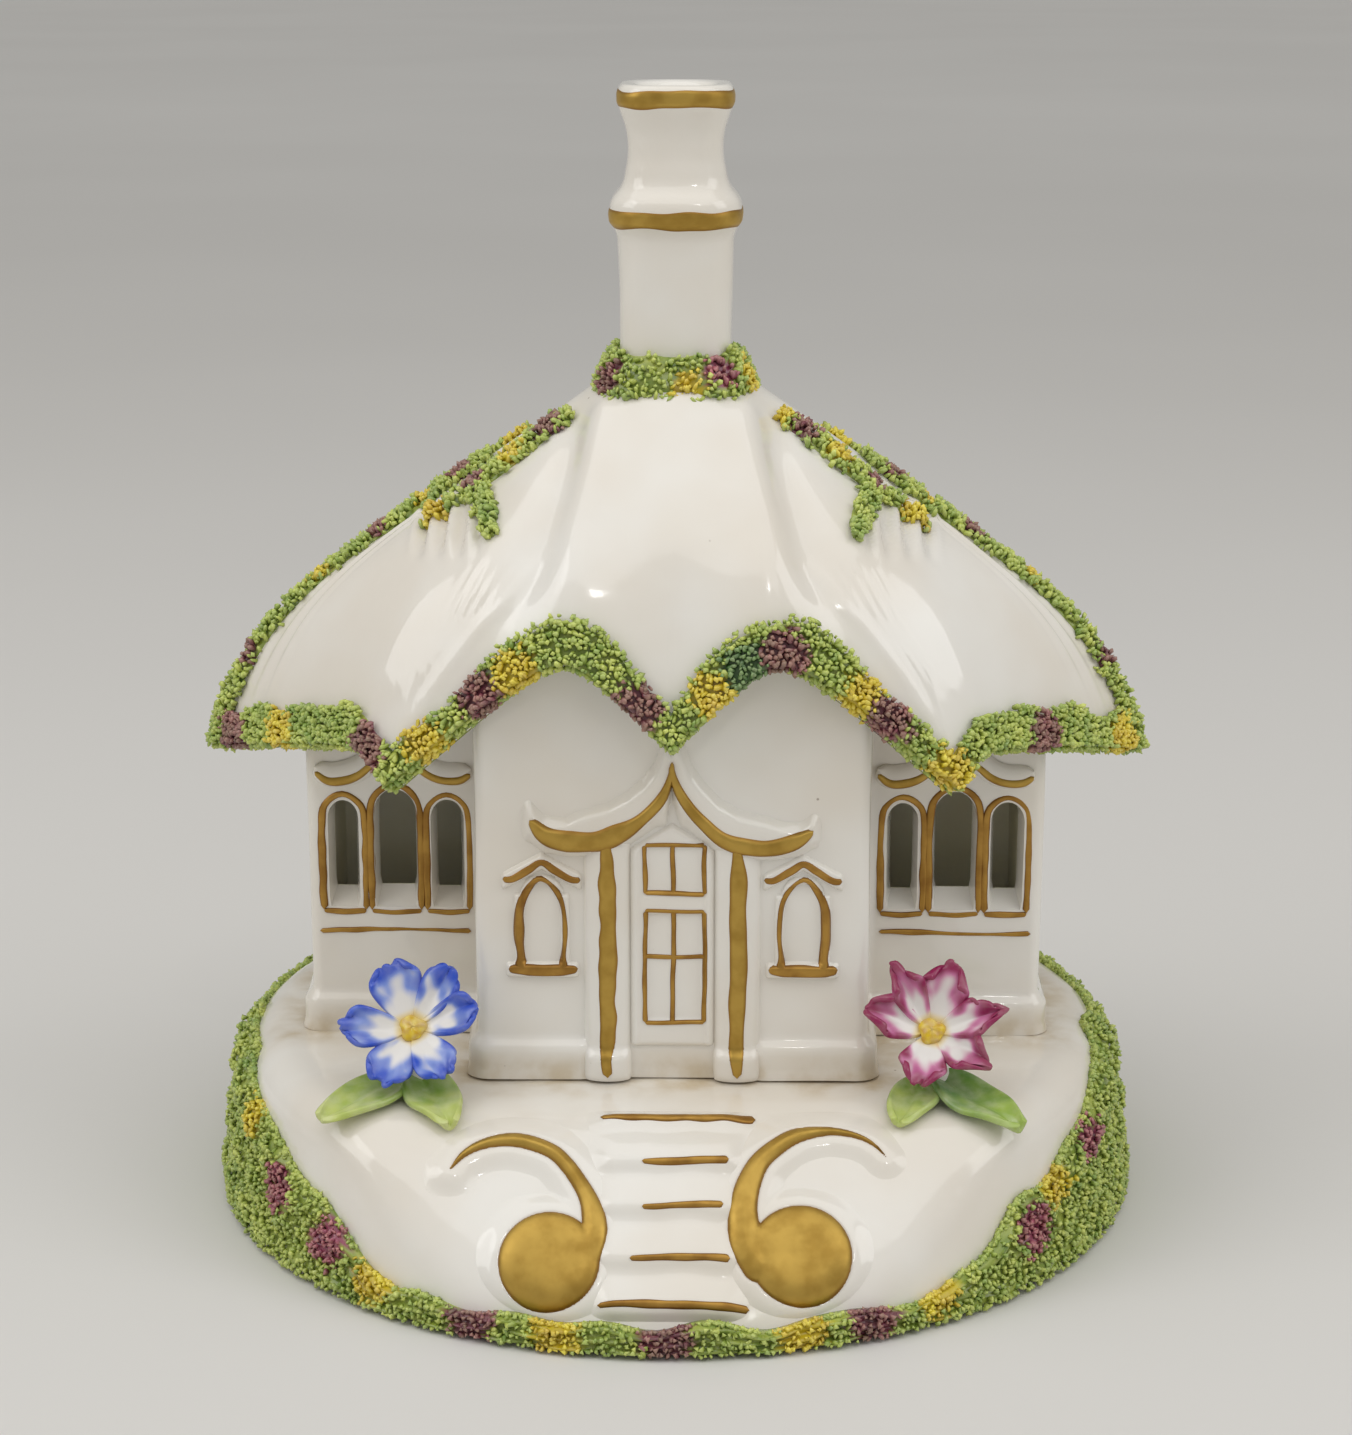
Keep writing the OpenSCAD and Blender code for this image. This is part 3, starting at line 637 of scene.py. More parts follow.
@dataclass(frozen=True)
class Finish:
    """A surface treatment, made into a material once."""

    title: str
    slot: Slot

    def paint(self, sheet: NodeSheet) -> None:
        """Add the treatment's nodes to a sheet."""
        raise NotImplementedError

    def material(self) -> bpy.types.Material:
        """Give the material, made at the first call.

        Returns:
            The material.
        """
        made = bpy.data.materials.get(self.title)
        if made is None:
            sheet = NodeSheet(self.title)
            self.paint(sheet)
            made = sheet.material
        return made


class Grime(Enum):
    """Where old smoke and dust have settled on the china."""

    NONE = 0
    WALL_FOOT = 1
    PLATEAU = 2


@dataclass(frozen=True)
class Porcelain(Finish):
    """Warm white bone china under a clear, slightly uneven glaze."""

    grime: Grime = Grime.NONE
    light: Colour = shade(239, 236, 229)
    warm: Colour = shade(232, 225, 213)
    stain: Colour = shade(192, 170, 128)
    speck: Colour = shade(120, 96, 70)
    block_foot: tuple[float, float] = (0.0244, 0.026)
    wing_foot: tuple[float, float] = (0.0462, 0.0104)

    def settled(self, sheet: NodeSheet) -> Socket:
        """Give the share of grime at each place.

        Args:
            sheet: The material's nodes.

        Returns:
            A socket.
        """
        x, y, z = sheet.axes()
        if self.grime is Grime.WALL_FOOT:
            near = sheet.span(z, 0.0212, 0.0252, 0.7, 0.0)
        else:
            away = [sheet.sum("ABSOLUTE", axis) for axis in (x, y)]
            feet = [sheet.sum("MAXIMUM", *(sheet.sum("SUBTRACT", *pair) for pair in zip(away, foot)))
                    for foot in (self.block_foot, self.wing_foot)]
            near = sheet.span(sheet.sum("ABSOLUTE", sheet.sum("MINIMUM", *feet)), 0.0, 0.0065, 0.75, 0.0)
        return sheet.sum("MULTIPLY", near, sheet.span(sheet.noise(190, 4), 0.35, 0.7, 0.15, 1.0))

    def paint(self, sheet: NodeSheet) -> None:
        """Add the glaze's tint, specks, grime, gloss and waviness.

        Args:
            sheet: The material to fill.
        """
        cloud = sheet.span(sheet.noise(38, 3), 0.35, 0.68, 0.0, 1.0)
        glaze = sheet.mix(cloud, self.light, self.warm)
        if self.grime is not Grime.NONE:
            glaze = sheet.mix(self.settled(sheet), glaze, self.stain)
        dots = sheet.span(sheet.cells(260), 0.035, 0.06, 0.6, 0.0)
        rare = sheet.span(sheet.noise(120, 1), 0.62, 0.66, 0.0, 1.0)
        glaze = sheet.mix(sheet.sum("MULTIPLY", dots, rare), glaze, self.speck)
        gloss = sheet.span(sheet.noise(70, 3), 0.3, 0.7, 0.07, 0.16)
        sheet.set(Base_Color=glaze, Roughness=gloss, IOR=1.52, Coat_Weight=0.35, Coat_Roughness=0.04)
        sheet.relief(sheet.noise(170, 2), 0.22, 0.5)


@dataclass(frozen=True)
class Gilding(Finish):
    """Fired gold, brighter where it lies thick and brown at its brushed edges."""

    bright: Colour = shade(192, 157, 74)
    deep: Colour = shade(168, 133, 55)
    edge: Colour = shade(146, 104, 44)
    fold: float = 0.8

    def paint(self, sheet: NodeSheet) -> None:
        """Add the brushed colour, brown edges and satin gloss.

        Args:
            sheet: The material to fill.
        """
        worn = sheet.span(sheet.noise(300, 3), 0.35, 0.7, 0.0, 1.0)
        gold = sheet.mix(worn, self.bright, self.deep)
        across = sheet.axes("UV")[1]
        middle = sheet.sum("ABSOLUTE",
                           sheet.sum("SUBTRACT", sheet.sum("MULTIPLY", across, 2 / self.fold), 1.0))
        rim = sheet.span(middle, 0.55, 1.0, 0.0, 0.85)
        gold = sheet.mix(rim, gold, self.edge)
        gloss = sheet.span(sheet.noise(500, 3), 0.3, 0.7, 0.36, 0.5)
        sheet.set(Base_Color=gold, Metallic=0.7, Roughness=gloss)
        sheet.relief(sheet.noise(500, 2), 0.04, 0.4)


@dataclass(frozen=True)
class Enamel(Finish):
    """Coloured glaze whose colour is stored on the piece."""

    rough: float = 0.22
    grain: float = 900.0
    bloom: float = 0.24

    def paint(self, sheet: NodeSheet) -> None:
        """Add the stored colour, a fine mottling and a wet gloss.

        Args:
            sheet: The material to fill.
        """
        tint = sheet.stored()
        mottle = sheet.span(sheet.noise(self.grain, 3), 0.3, 0.75, 0.0, self.bloom)
        tint = sheet.mix(mottle, tint, shade(236, 232, 214))
        gloss = sheet.span(sheet.noise(self.grain * 0.6, 2), 0.3, 0.7, self.rough * 0.6, self.rough * 1.5)
        sheet.set(Base_Color=tint, Roughness=gloss, IOR=1.5)
        sheet.relief(sheet.noise(self.grain, 2), 0.06, 0.6)


@dataclass(frozen=True)
class Biscuit(Finish):
    """Bare fired clay, browned by smoke."""

    pale: Colour = shade(196, 180, 146)
    brown: Colour = shade(146, 124, 84)

    def paint(self, sheet: NodeSheet) -> None:
        """Add a sandy colour and a dull rough surface.

        Args:
            sheet: The material to fill.
        """
        cloud = sheet.span(sheet.noise(60, 5), 0.3, 0.7, 0.0, 1.0)
        sheet.set(Base_Color=sheet.mix(cloud, self.pale, self.brown))
        sheet.set(Roughness=sheet.span(sheet.noise(800, 3), 0.3, 0.7, 0.55, 0.8))
        sheet.relief(sheet.noise(1200, 3), 0.1, 0.5)


CHINA = Porcelain("white_china", Slot.PORCELAIN)
WALL_CHINA = Porcelain("wall_china", Slot.PORCELAIN, Grime.WALL_FOOT)
MOUND_CHINA = Porcelain("mound_china", Slot.PORCELAIN, Grime.PLATEAU)
GOLD = Gilding("fired_gold", Slot.GILDING)
THIN_GOLD = Gilding("thin_gold", Slot.GILDING, shade(184, 142, 66), shade(152, 110, 46), shade(122, 80, 36))
MOSS = Enamel("moss_enamel", Slot.MOSS, rough=0.16, bloom=0.08)
BISCUIT = Biscuit("smoked_biscuit", Slot.BISCUIT)
# White china inside the walls, painted paler than the china outside: painted light on the inside, which the
# lamps barely reach.
INSIDE_PAINTED_LIGHT = Biscuit("inside_painted_light", Slot.PORCELAIN, shade(247, 243, 222), shade(240, 233, 200))


@dataclass(frozen=True)
class Facing:
    """A flat place on the china with its own across, up and out directions."""

    origin: Triple
    across: Triple
    up: Triple
    out: Triple

    def at(self, a: Array, b: Array, h: Array) -> Array:
        """Give places for distances across, up and out in millimetres.

        Args:
            a: Distances across.
            b: Distances up.
            h: Distances out.

        Returns:
            Places in millimetres.
        """
        a, b, h = np.broadcast_arrays(a, b, h)
        return (np.array(self.origin) + a[..., None] * np.array(self.across)
                + b[..., None] * np.array(self.up) + h[..., None] * np.array(self.out))

    def plan(self, points: Array) -> tuple[Array, Array]:
        """Give the distances across and up of places in millimetres."""
        offset = points - np.array(self.origin)
        return offset @ np.array(self.across), offset @ np.array(self.up)


SLOPE = math.radians(45.8)
FRONT_WALL = Facing((0, -25, 0), (1, 0, 0), (0, 0, 1), (0, -1, 0))
WING_WALL = Facing((0, -9.4, 0), (1, 0, 0), (0, 0, 1), (0, -1, 0))
APRON = Facing((0, -36, PLATEAU), (1, 0, 0), (0, -math.cos(SLOPE), -math.sin(SLOPE)),
               (0, -math.sin(SLOPE), math.cos(SLOPE)))


def level(a: Array, b: Array) -> Array:
    """Give the height of bare flat china."""
    return np.zeros(np.broadcast(a, b).shape)


@dataclass(frozen=True)
class BrushStroke:
    """A line laid along a path on the china: gold, or a soft raised moulding."""

    path: Sequence[Triple]
    facing: Facing
    relief: Height = level
    film: float = 0.16
    dome: float = 0.0
    waver: float = 0.1
    seed: int = 1

    def build(self, name: str, columns: int = 60, rows: int = 10) -> Piece:
        """Make the stroke as a thin closed ribbon with round ends.

        Args:
            name: Name of the new piece.
            columns: Faces along the stroke.
            rows: Faces across it, four fifths of them on top.

        Returns:
            The new piece.
        """
        line = through(self.path, 400)
        heading = np.gradient(line[:, :2], axis=0)
        run = np.hypot(heading[:, 0], heading[:, 1])
        length = np.concatenate([[0], np.cumsum((run[1:] + run[:-1]) / 2)])
        side = np.stack([-heading[:, 1], heading[:, 0]], axis=1) / np.maximum(run, 1e-9)[:, None]

        def surface(u: Array, v: Array) -> Array:
            """Give the ribbon's places.

            Args:
                u: Shares along the grid's first direction.
                v: Shares along its second direction.

            Returns:
                Places in millimetres.
            """
            reach = u * length[-1]
            pick = [np.interp(reach, length, column) for column in (*line.T, *side.T)]
            half = np.maximum(pick[2], 0.01)
            wave = self.waver * ripple(reach, np.where(v < 0.4, 0.0, 9.0), 5.0, self.seed)
            cap = np.clip(np.minimum(reach, length[-1] - reach) / half, 0, 1)
            half = half * (1 + wave) * np.sqrt(np.maximum(1 - (1 - cap) ** 2, 0))
            top = v < 0.801
            q = np.where(top, v / 0.4 - 1, 1 - (v - 0.8) * 10)
            a, b = pick[0] + pick[3] * half * q, pick[1] + pick[4] * half * q
            crown = self.film * (1 - q**4) + self.dome * np.sqrt(np.maximum(1 - q * q, 0)) - 0.03
            return self.facing.at(a, b, self.relief(a, b) + np.where(top, crown, -0.35))

        piece = Bench.wrap(name, columns, rows, surface, closed=True)
        Bench.smooth(piece, 60)
        return piece


@dataclass(frozen=True)
class ReliefPatch:
    """A soft raised shape moulded on a flat place of the china."""

    facing: Facing
    span: tuple[float, float, float, float]
    height: Height
    sink: float = 0.0
    back: float = 0.8
    kept: Height | None = None

    def build(self, name: str, columns: int, rows: int) -> Piece:
        """Make the patch as a thin plate that sinks into the china at its edge.

        Args:
            name: Name of the new piece.
            columns: Faces across.
            rows: Faces upwards.

        Returns:
            The new piece.
        """
        low_a, high_a, low_b, high_b = self.span

        def surface(u: Array, v: Array) -> Array:
            """Give the plate's front face.

            Args:
                u: Shares along the grid's first direction.
                v: Shares along its second direction.

            Returns:
                Places in millimetres.
            """
            a, b = lerp(low_a, high_a, u), lerp(low_b, high_b, v)
            rim = np.minimum(np.minimum(u, 1 - u) * (high_a - low_a),
                             np.minimum(v, 1 - v) * (high_b - low_b))
            rise = self.height(a, b)
            rise = rise - self.sink * (1 - ease(rise / 0.3))
            return self.facing.at(a, b, rise - 0.25 * (1 - ease(rim / 0.5)))

        piece = Bench.wrap(name, columns, rows, surface)
        if np.dot(piece.data.polygons[0].normal, self.facing.out) < 0:
            Bench.flip(piece)
        if self.kept:
            Bench.drop(piece, self.kept(*self.facing.plan(Bench.points(piece))) < 0)
        Bench.modify(piece, "SOLIDIFY", thickness=self.back * MM, offset=-1.0)
        Bench.smooth(piece, 70)
        return piece


@dataclass
class Studio:
    """Pale floor, soft lamps and the camera."""

    distance: float = 376.0
    height: float = 160.0
    azimuth: float = 1.0
    pitch: float = 15.07
    focal_rows: float = 3129.0
    image_rows: float = 1435.0
    sensor: float = 36.0
    floor_colour: Colour = shade(216, 214, 210)
    # Paler colour that the floor turns to far away: painted light, standing in for lamp light that falls off
    # with distance.
    far_floor_colour: Colour = shade(246, 245, 242)
    backdrop: Colour = shade(166, 165, 161)
    glow: float = 0.42
    lamps: Sequence[tuple[str, Triple, tuple[float, float], float]] = (
        ("key_lamp", (-0.06, -0.2, 0.8), (1.2, 0.8), 2.9),
        ("right_lamp", (0.8, -0.3, 0.65), (0.6, 0.6), 2.0),
        ("left_lamp", (-0.8, -0.3, 0.65), (0.6, 0.6), 1.9),
        ("glint_lamp", (0.12, -0.62, 0.62), (0.055, 0.045), 0.15))

    def build(self) -> None:
        """Set up the floor, the light and the camera."""
        scene = bpy.context.scene
        scene.view_settings.view_transform = "Standard"
        self.build_floor()
        self.build_world(scene)
        for lamp in self.lamps:
            self.build_lamp(*lamp)
        self.build_camera(scene)

    def build_floor(self) -> None:
        """Lay a wide pale floor under the foot, painted paler far away: painted light where less lamp light
        reaches it.
        """
        Bench.pick()
        bpy.ops.mesh.primitive_grid_add(x_subdivisions=8, y_subdivisions=8, size=30.0,
                                        location=(0, 0, -0.0002))
        floor = Bench.named("floor")
        sheet = NodeSheet("pale_floor")
        x, y, _ = sheet.axes()
        # The floor is painted paler with distance as painted light, plus a faint random cloud.
        away = sheet.sum("MAXIMUM", sheet.sum("ABSOLUTE", x), sheet.sum("ABSOLUTE", y))
        cloud = sheet.sum("ADD", sheet.span(away, 0.3, 2.0, 0.0, 0.9),
                          sheet.span(sheet.noise(3.0, 2), 0.3, 0.7, 0.0, 0.1))
        sheet.set(Base_Color=sheet.mix(cloud, self.floor_colour, self.far_floor_colour), Roughness=0.75)
        floor.data.materials.append(sheet.material)

    def build_world(self, scene: bpy.types.Scene) -> None:
        """Surround the object with even light, and show the floor's colour behind it.

        Args:
            scene: The scene to light.
        """
        world = bpy.data.worlds.new("studio")
        scene.world = world
        world.use_nodes = True
        nodes, links = world.node_tree.nodes, world.node_tree.links
        nodes.clear()
        seen, glow, blend, mirrored, direct = (nodes.new(k) for k in (
            "ShaderNodeBackground", "ShaderNodeBackground", "ShaderNodeMixShader", "ShaderNodeMath",
            "ShaderNodeMath"))
        mirrored.operation = direct.operation = "MAXIMUM"
        seen.inputs["Color"].default_value = (*self.backdrop, 1)
        glow.inputs["Color"].default_value = (1.0, 0.985, 0.96, 1)
        glow.inputs["Strength"].default_value = self.glow
        ray = nodes.new("ShaderNodeLightPath")
        end = nodes.new("ShaderNodeOutputWorld")
        links.new(ray.outputs["Is Glossy Ray"], mirrored.inputs[0])
        links.new(ray.outputs["Is Transmission Ray"], mirrored.inputs[1])
        links.new(ray.outputs["Is Camera Ray"], direct.inputs[0])
        links.new(mirrored.outputs[0], direct.inputs[1])
        links.new(direct.outputs[0], blend.inputs[0])
        links.new(glow.outputs[0], blend.inputs[1])
        links.new(seen.outputs[0], blend.inputs[2])
        links.new(blend.outputs[0], end.inputs["Surface"])

    def build_lamp(self, name: str, place: Triple, size: tuple[float, float], power: float) -> None:
        """Hang one soft lamp that faces the object.

        Args:
            name: Name of the lamp.
            place: Where it hangs, in metres.
            size: Its width and height in metres.
            power: Its power in watts.
        """
        Bench.pick()
        bpy.ops.object.light_add(type="AREA", location=place)
        lamp = bpy.context.object
        lamp.name = name
        lamp.data.shape = "RECTANGLE"
        lamp.data.size, lamp.data.size_y = size
        lamp.data.energy = power
        x, y, z = place[0], place[1], place[2] - 0.06
        lamp.rotation_euler = (math.atan2(math.hypot(x, y), z), 0, math.atan2(x, -y))

    def build_camera(self, scene: bpy.types.Scene) -> None:
        """Stand the camera where the photograph was taken from.

        Args:
            scene: The scene that the camera is for.
        """
        Bench.pick()
        turn = math.radians(self.azimuth)
        bpy.ops.object.camera_add(
            location=(self.distance * MM * math.sin(turn), -self.distance * MM * math.cos(turn),
                      self.height * MM),
            rotation=(math.radians(90 - self.pitch), 0, turn))
        camera = bpy.context.object
        camera.name = "camera"
        camera.data.sensor_fit = "VERTICAL"
        camera.data.sensor_height = self.sensor
        camera.data.lens = self.sensor * self.focal_rows / self.image_rows
        camera.data.clip_start = 0.01
        scene.camera = camera


@dataclass
class MoundBase:
    """Hollow round base with a plateau and a sloping apron in front."""

    foot_r: float = 56.4
    side_r: float = 54.2
    apron_r: float = 55.0
    height: float = PLATEAU
    shoulder: float = 5.0
    wall: float = 3.4
    softness: float = 3.6

    def side(self, share: Array) -> tuple[Array, Array]:
        """Give radius and height up the side, 0 at the foot and 1 where the plateau starts.

        Args:
            share: Shares of the way up.

        Returns:
            Radii and heights.
        """
        spring = self.height - self.shoulder
        up = np.clip(share / 0.72, 0, 1)
        turn = np.clip((share - 0.72) / 0.28, 0, 1) * np.pi / 2
        r = lerp(self.foot_r, self.side_r, up) - self.shoulder * (1 - np.cos(turn))
        return r, up * spring + self.shoulder * np.sin(turn)

    def pressed(self, points: Array) -> Array:
        """Press the apron's slope into places on the plain mound.

        Args:
            points: Places on the plain mound.

        Returns:
            The pressed places.
        """
        out = np.array(APRON.out)
        over = (points - np.array(APRON.origin)) @ out
        sunk = 0.5 * (over + np.sqrt(over**2 + self.softness**2))
        return points - sunk[:, None] * out

    def apron(self, a: Array, s: Array) -> Array:
        """Give how far the soft apron lies under its plane.

        Args:
            a: Distance across.
            s: Distance down the slope.

        Returns:
            Heights in millimetres, none above 0.
        """
        brow = s * math.tan(SLOPE)
        edge = np.sqrt(np.maximum(self.apron_r**2 - a**2, 0))
        foot = (edge + APRON.origin[1] - s * math.cos(SLOPE)) / math.sin(SLOPE)
        over = np.minimum(brow, foot)
        return 0.5 * (over - np.sqrt(over**2 + self.softness**2))

    def build(self) -> None:
        """Turn the mound, press the apron and hollow it out."""
        rise = [self.side(np.array(s)) for s in np.linspace(0, 1, 30)]
        inner = [(r, self.height) for r in np.linspace(self.side_r - self.shoulder, 0.8, 44)[1:]]
        profile = [(float(r), float(z)) for r, z in rise] + inner
        mound = Bench.loft("mound", 224, profile, True)
        Bench.outwards(mound)
        points = self.pressed(Bench.points(mound))
        points[:, 2] += 0.12 * ripple(points[:, 0], points[:, 1], 17, 5) * ease(points[:, 2] / 6)
        Bench.place(mound, points)
        Bench.modify(mound, "SOLIDIFY", thickness=self.wall * MM, offset=-1.0)
        points = Bench.points(mound)
        hidden = np.arange(len(points)) >= len(points) // 2
        away = np.hypot(points[:, 0], points[:, 1])
        draw_in = np.minimum(1, (self.side_r - self.shoulder) / np.maximum(away, 0.01))
        points[:, :2] *= np.where(hidden, draw_in, 1.0)[:, None]
        points[:, 2] = np.maximum(points[:, 2], 0.0)
        Bench.place(mound, points)
        Bench.smooth(mound, 60)
        Bench.dress(mound, MOUND_CHINA, Body.BASE, ["base_mound"])


@dataclass
class FrontSteps:
    """Soft steps up the apron with a gold line on each nosing."""

    mound: MoundBase
    nosings: tuple[float, ...] = (0.4, 6.3, 11.9, 18.2, 23.6)
    lines: tuple[tuple[float, float, float], ...] = (
        (-8.2, 9.9, 0.62), (-3.2, 6.8, 0.5), (-3.1, 6.2, 0.42), (-4.4, 7.0, 0.45), (-8.0, 9.2, 0.5))
    half_width: float = 8.2
    relief: float = 1.05

    def height(self, a: Array, s: Array) -> Array:
        """Give the steps' height above the slope.

        Args:
            a: Distance across.
            s: Distance down the slope.

        Returns:
            Heights in millimetres.
        """
        flow = s + 0.25 * ripple(a, s * 0.2, 9.0, 7)
        places = [-1.2, 0.3, 1.9, 6.2, 7.7, 11.8, 13.4, 18.1, 19.7, 23.7, 25.6]
        heights = [0.2, 1, 0.25, 1, 0.2, 1, 0.2, 1, 0.2, 0.9, 0.0]
        tread = sum(np.interp(flow + d, places, heights) for d in (-0.7, -0.35, 0.0, 0.35, 0.7)) / 5
        fade = within(a, -self.half_width, self.half_width, 4.4) * within(s, -0.4, 25.2, 1.8)
        return self.mound.apron(a, s) + (0.4 + self.relief * tread) * fade - 0.12

    def build(self) -> None:
        """Mould the steps and paint their lines."""
        patch = ReliefPatch(APRON, (-11.0, 11.0, -1.6, 26.4), self.height)
        steps = patch.build("steps", 70, 120)
        Bench.dress(steps, CHINA, Body.BASE, ["front_steps"])
        strokes = []
        for k, (s, (low, high, half)) in enumerate(zip(self.nosings, self.lines)):
            wave = [(lerp(low, high, t), s + 0.18 * math.sin(3 * t + k),
                     half * lerp(0.6, 1.0, min(1, 4 * t)))
                    for t in np.linspace(0, 1, 7)]
            strokes.append(BrushStroke(wave, APRON, self.height, film=0.12, dome=0.1, waver=0.16,
                                       seed=20 + k).build("line", 48))
        lines = Bench.join("step_lines", strokes)
        Bench.dress(lines, THIN_GOLD, Body.BASE)


@dataclass
class GiltScroll:
    """Domed gold comma on the apron, with a soft white bed under it."""

    side: Side
    ball: Triple
    tail: Sequence[Triple]
    mound: MoundBase
    bed_rise: float = 0.65
    gold_rise: float = 1.0

    def inside(self, a: Array, s: Array) -> Array:
        """Give how far places lie inside the comma's outline.

        Args:
            a: Distance across.
            s: Distance down the slope.

        Returns:
            Distances in millimetres, below 0 outside.
        """
        x, t, r = self.ball
        deep = r - np.hypot(a - x, s - t)
        for x, t, half in through(self.tail, 150):
            deep = np.maximum(deep, half - np.hypot(a - x, s - t))
        return deep

    def bed(self, a: Array, s: Array) -> Array:
        """Give the height of the white bed, which sinks under the gold.

        Args:
            a: Distances across the apron.
            s: Distances down its slope.

        Returns:
            Heights over the apron's plane.
        """
        deep = self.inside(a, s)
        rise = (self.bed_rise + 0.12) * ease((deep + 3.2) / 3.0) - 0.12
        return self.mound.apron(a, s) + rise - 0.6 * ease(deep / 0.6)

    def bed_kept(self, a: Array, s: Array) -> Array:
        """Give values below 0 where the bed has sunk under the china or the moss."""
        return np.minimum(self.inside(a, s) + 3.6, APRON.at(a, s, self.bed(a, s))[:, 2] - 1.2)

    def gold_kept(self, a: Array, s: Array) -> Array:
        """Give values below 0 where the gold has sunk into its bed."""
        return self.inside(a, s) + 0.6

    def gold(self, a: Array, s: Array) -> Array:
        """Give the height of the gold, which dives into the bed outside the outline.

        Args:
            a: Distances across the apron.
            s: Distances down its slope.

        Returns:
            Heights over the apron's plane.
        """
        deep = self.inside(a, s)
        dome = self.gold_rise * np.sqrt(1 - (1 - np.clip(deep / 2.8, 0, 1)) ** 2)
        rise = self.bed_rise - 0.08 + np.where(deep > 0, dome, 3 * deep)
        return self.mound.apron(a, s) + np.maximum(rise, -0.9)

    def build(self) -> None:
        """Make the white bed and the gold comma on it."""
        word = self.side.word
        x, t, r = self.ball
        xs = [p[0] for p in self.tail] + [x - r, x + r]
        span = (min(xs) - 3.4, max(xs) + 3.4, min(p[1] for p in self.tail) - 4, t + r + 3)
        bed = ReliefPatch(APRON, span, self.bed, kept=self.bed_kept).build(f"scroll_bed_{word}", 80, 88)
        Bench.dress(bed, CHINA, Body.BASE)
        patch = ReliefPatch(APRON, span, self.gold, kept=self.gold_kept)
        gold = patch.build(f"gilt_scroll_{word}", 130, 140)
        deep = self.inside(*APRON.plan(Bench.points(gold)))
        Bench.mark(gold, 0.4 + 0.4 * np.clip(1 - deep / 0.9, 0, 1))
        Bench.dress(gold, GOLD, Body.BASE, [f"scroll_{word}"])


@dataclass
class PastilleCup:
    """Small turned cup inside the house that holds the pastille."""

    radius: float = 9.0
    height: float = 7.0
    wall: float = 1.4
    floor: float = 1.8
    stand: float = PLATEAU

    def build(self) -> None:
        """Turn the cup with a round lip."""
        r, top, low = self.radius, self.stand + self.height, self.stand
        lip = [(r - self.wall / 2 + self.wall / 2 * math.cos(t), top - 0.7 + 0.7 * math.sin(t))
               for t in np.linspace(0, math.pi, 9)]
        profile = [(0.3, low), (r - 0.9, low), (r - 0.2, low + 0.3), (r, low + 1.2), *lip,
                   (r - self.wall, low + self.floor + 1.2), (r - self.wall - 0.5, low + self.floor + 0.3),
                   (r - self.wall - 1.6, low + self.floor), (0.3, low + self.floor)]
        cup = Bench.loft("cup", 72, profile, True)
        with Bench.editing(cup):
            bpy.ops.mesh.select_all(action="DESELECT")
            bpy.ops.mesh.select_non_manifold()
            bpy.ops.mesh.merge(type="CENTER")
        Bench.outwards(cup)
        Bench.smooth(cup, 50)
        Bench.dress(cup, BISCUIT, Body.BASE, ["pastille_cup"])


@dataclass(frozen=True)
class PetalShape:
    """One petal's size, curl and place round the eye."""

    turn: float
    length: float
    width: float
    cup: float
    curl: float
    notch: float


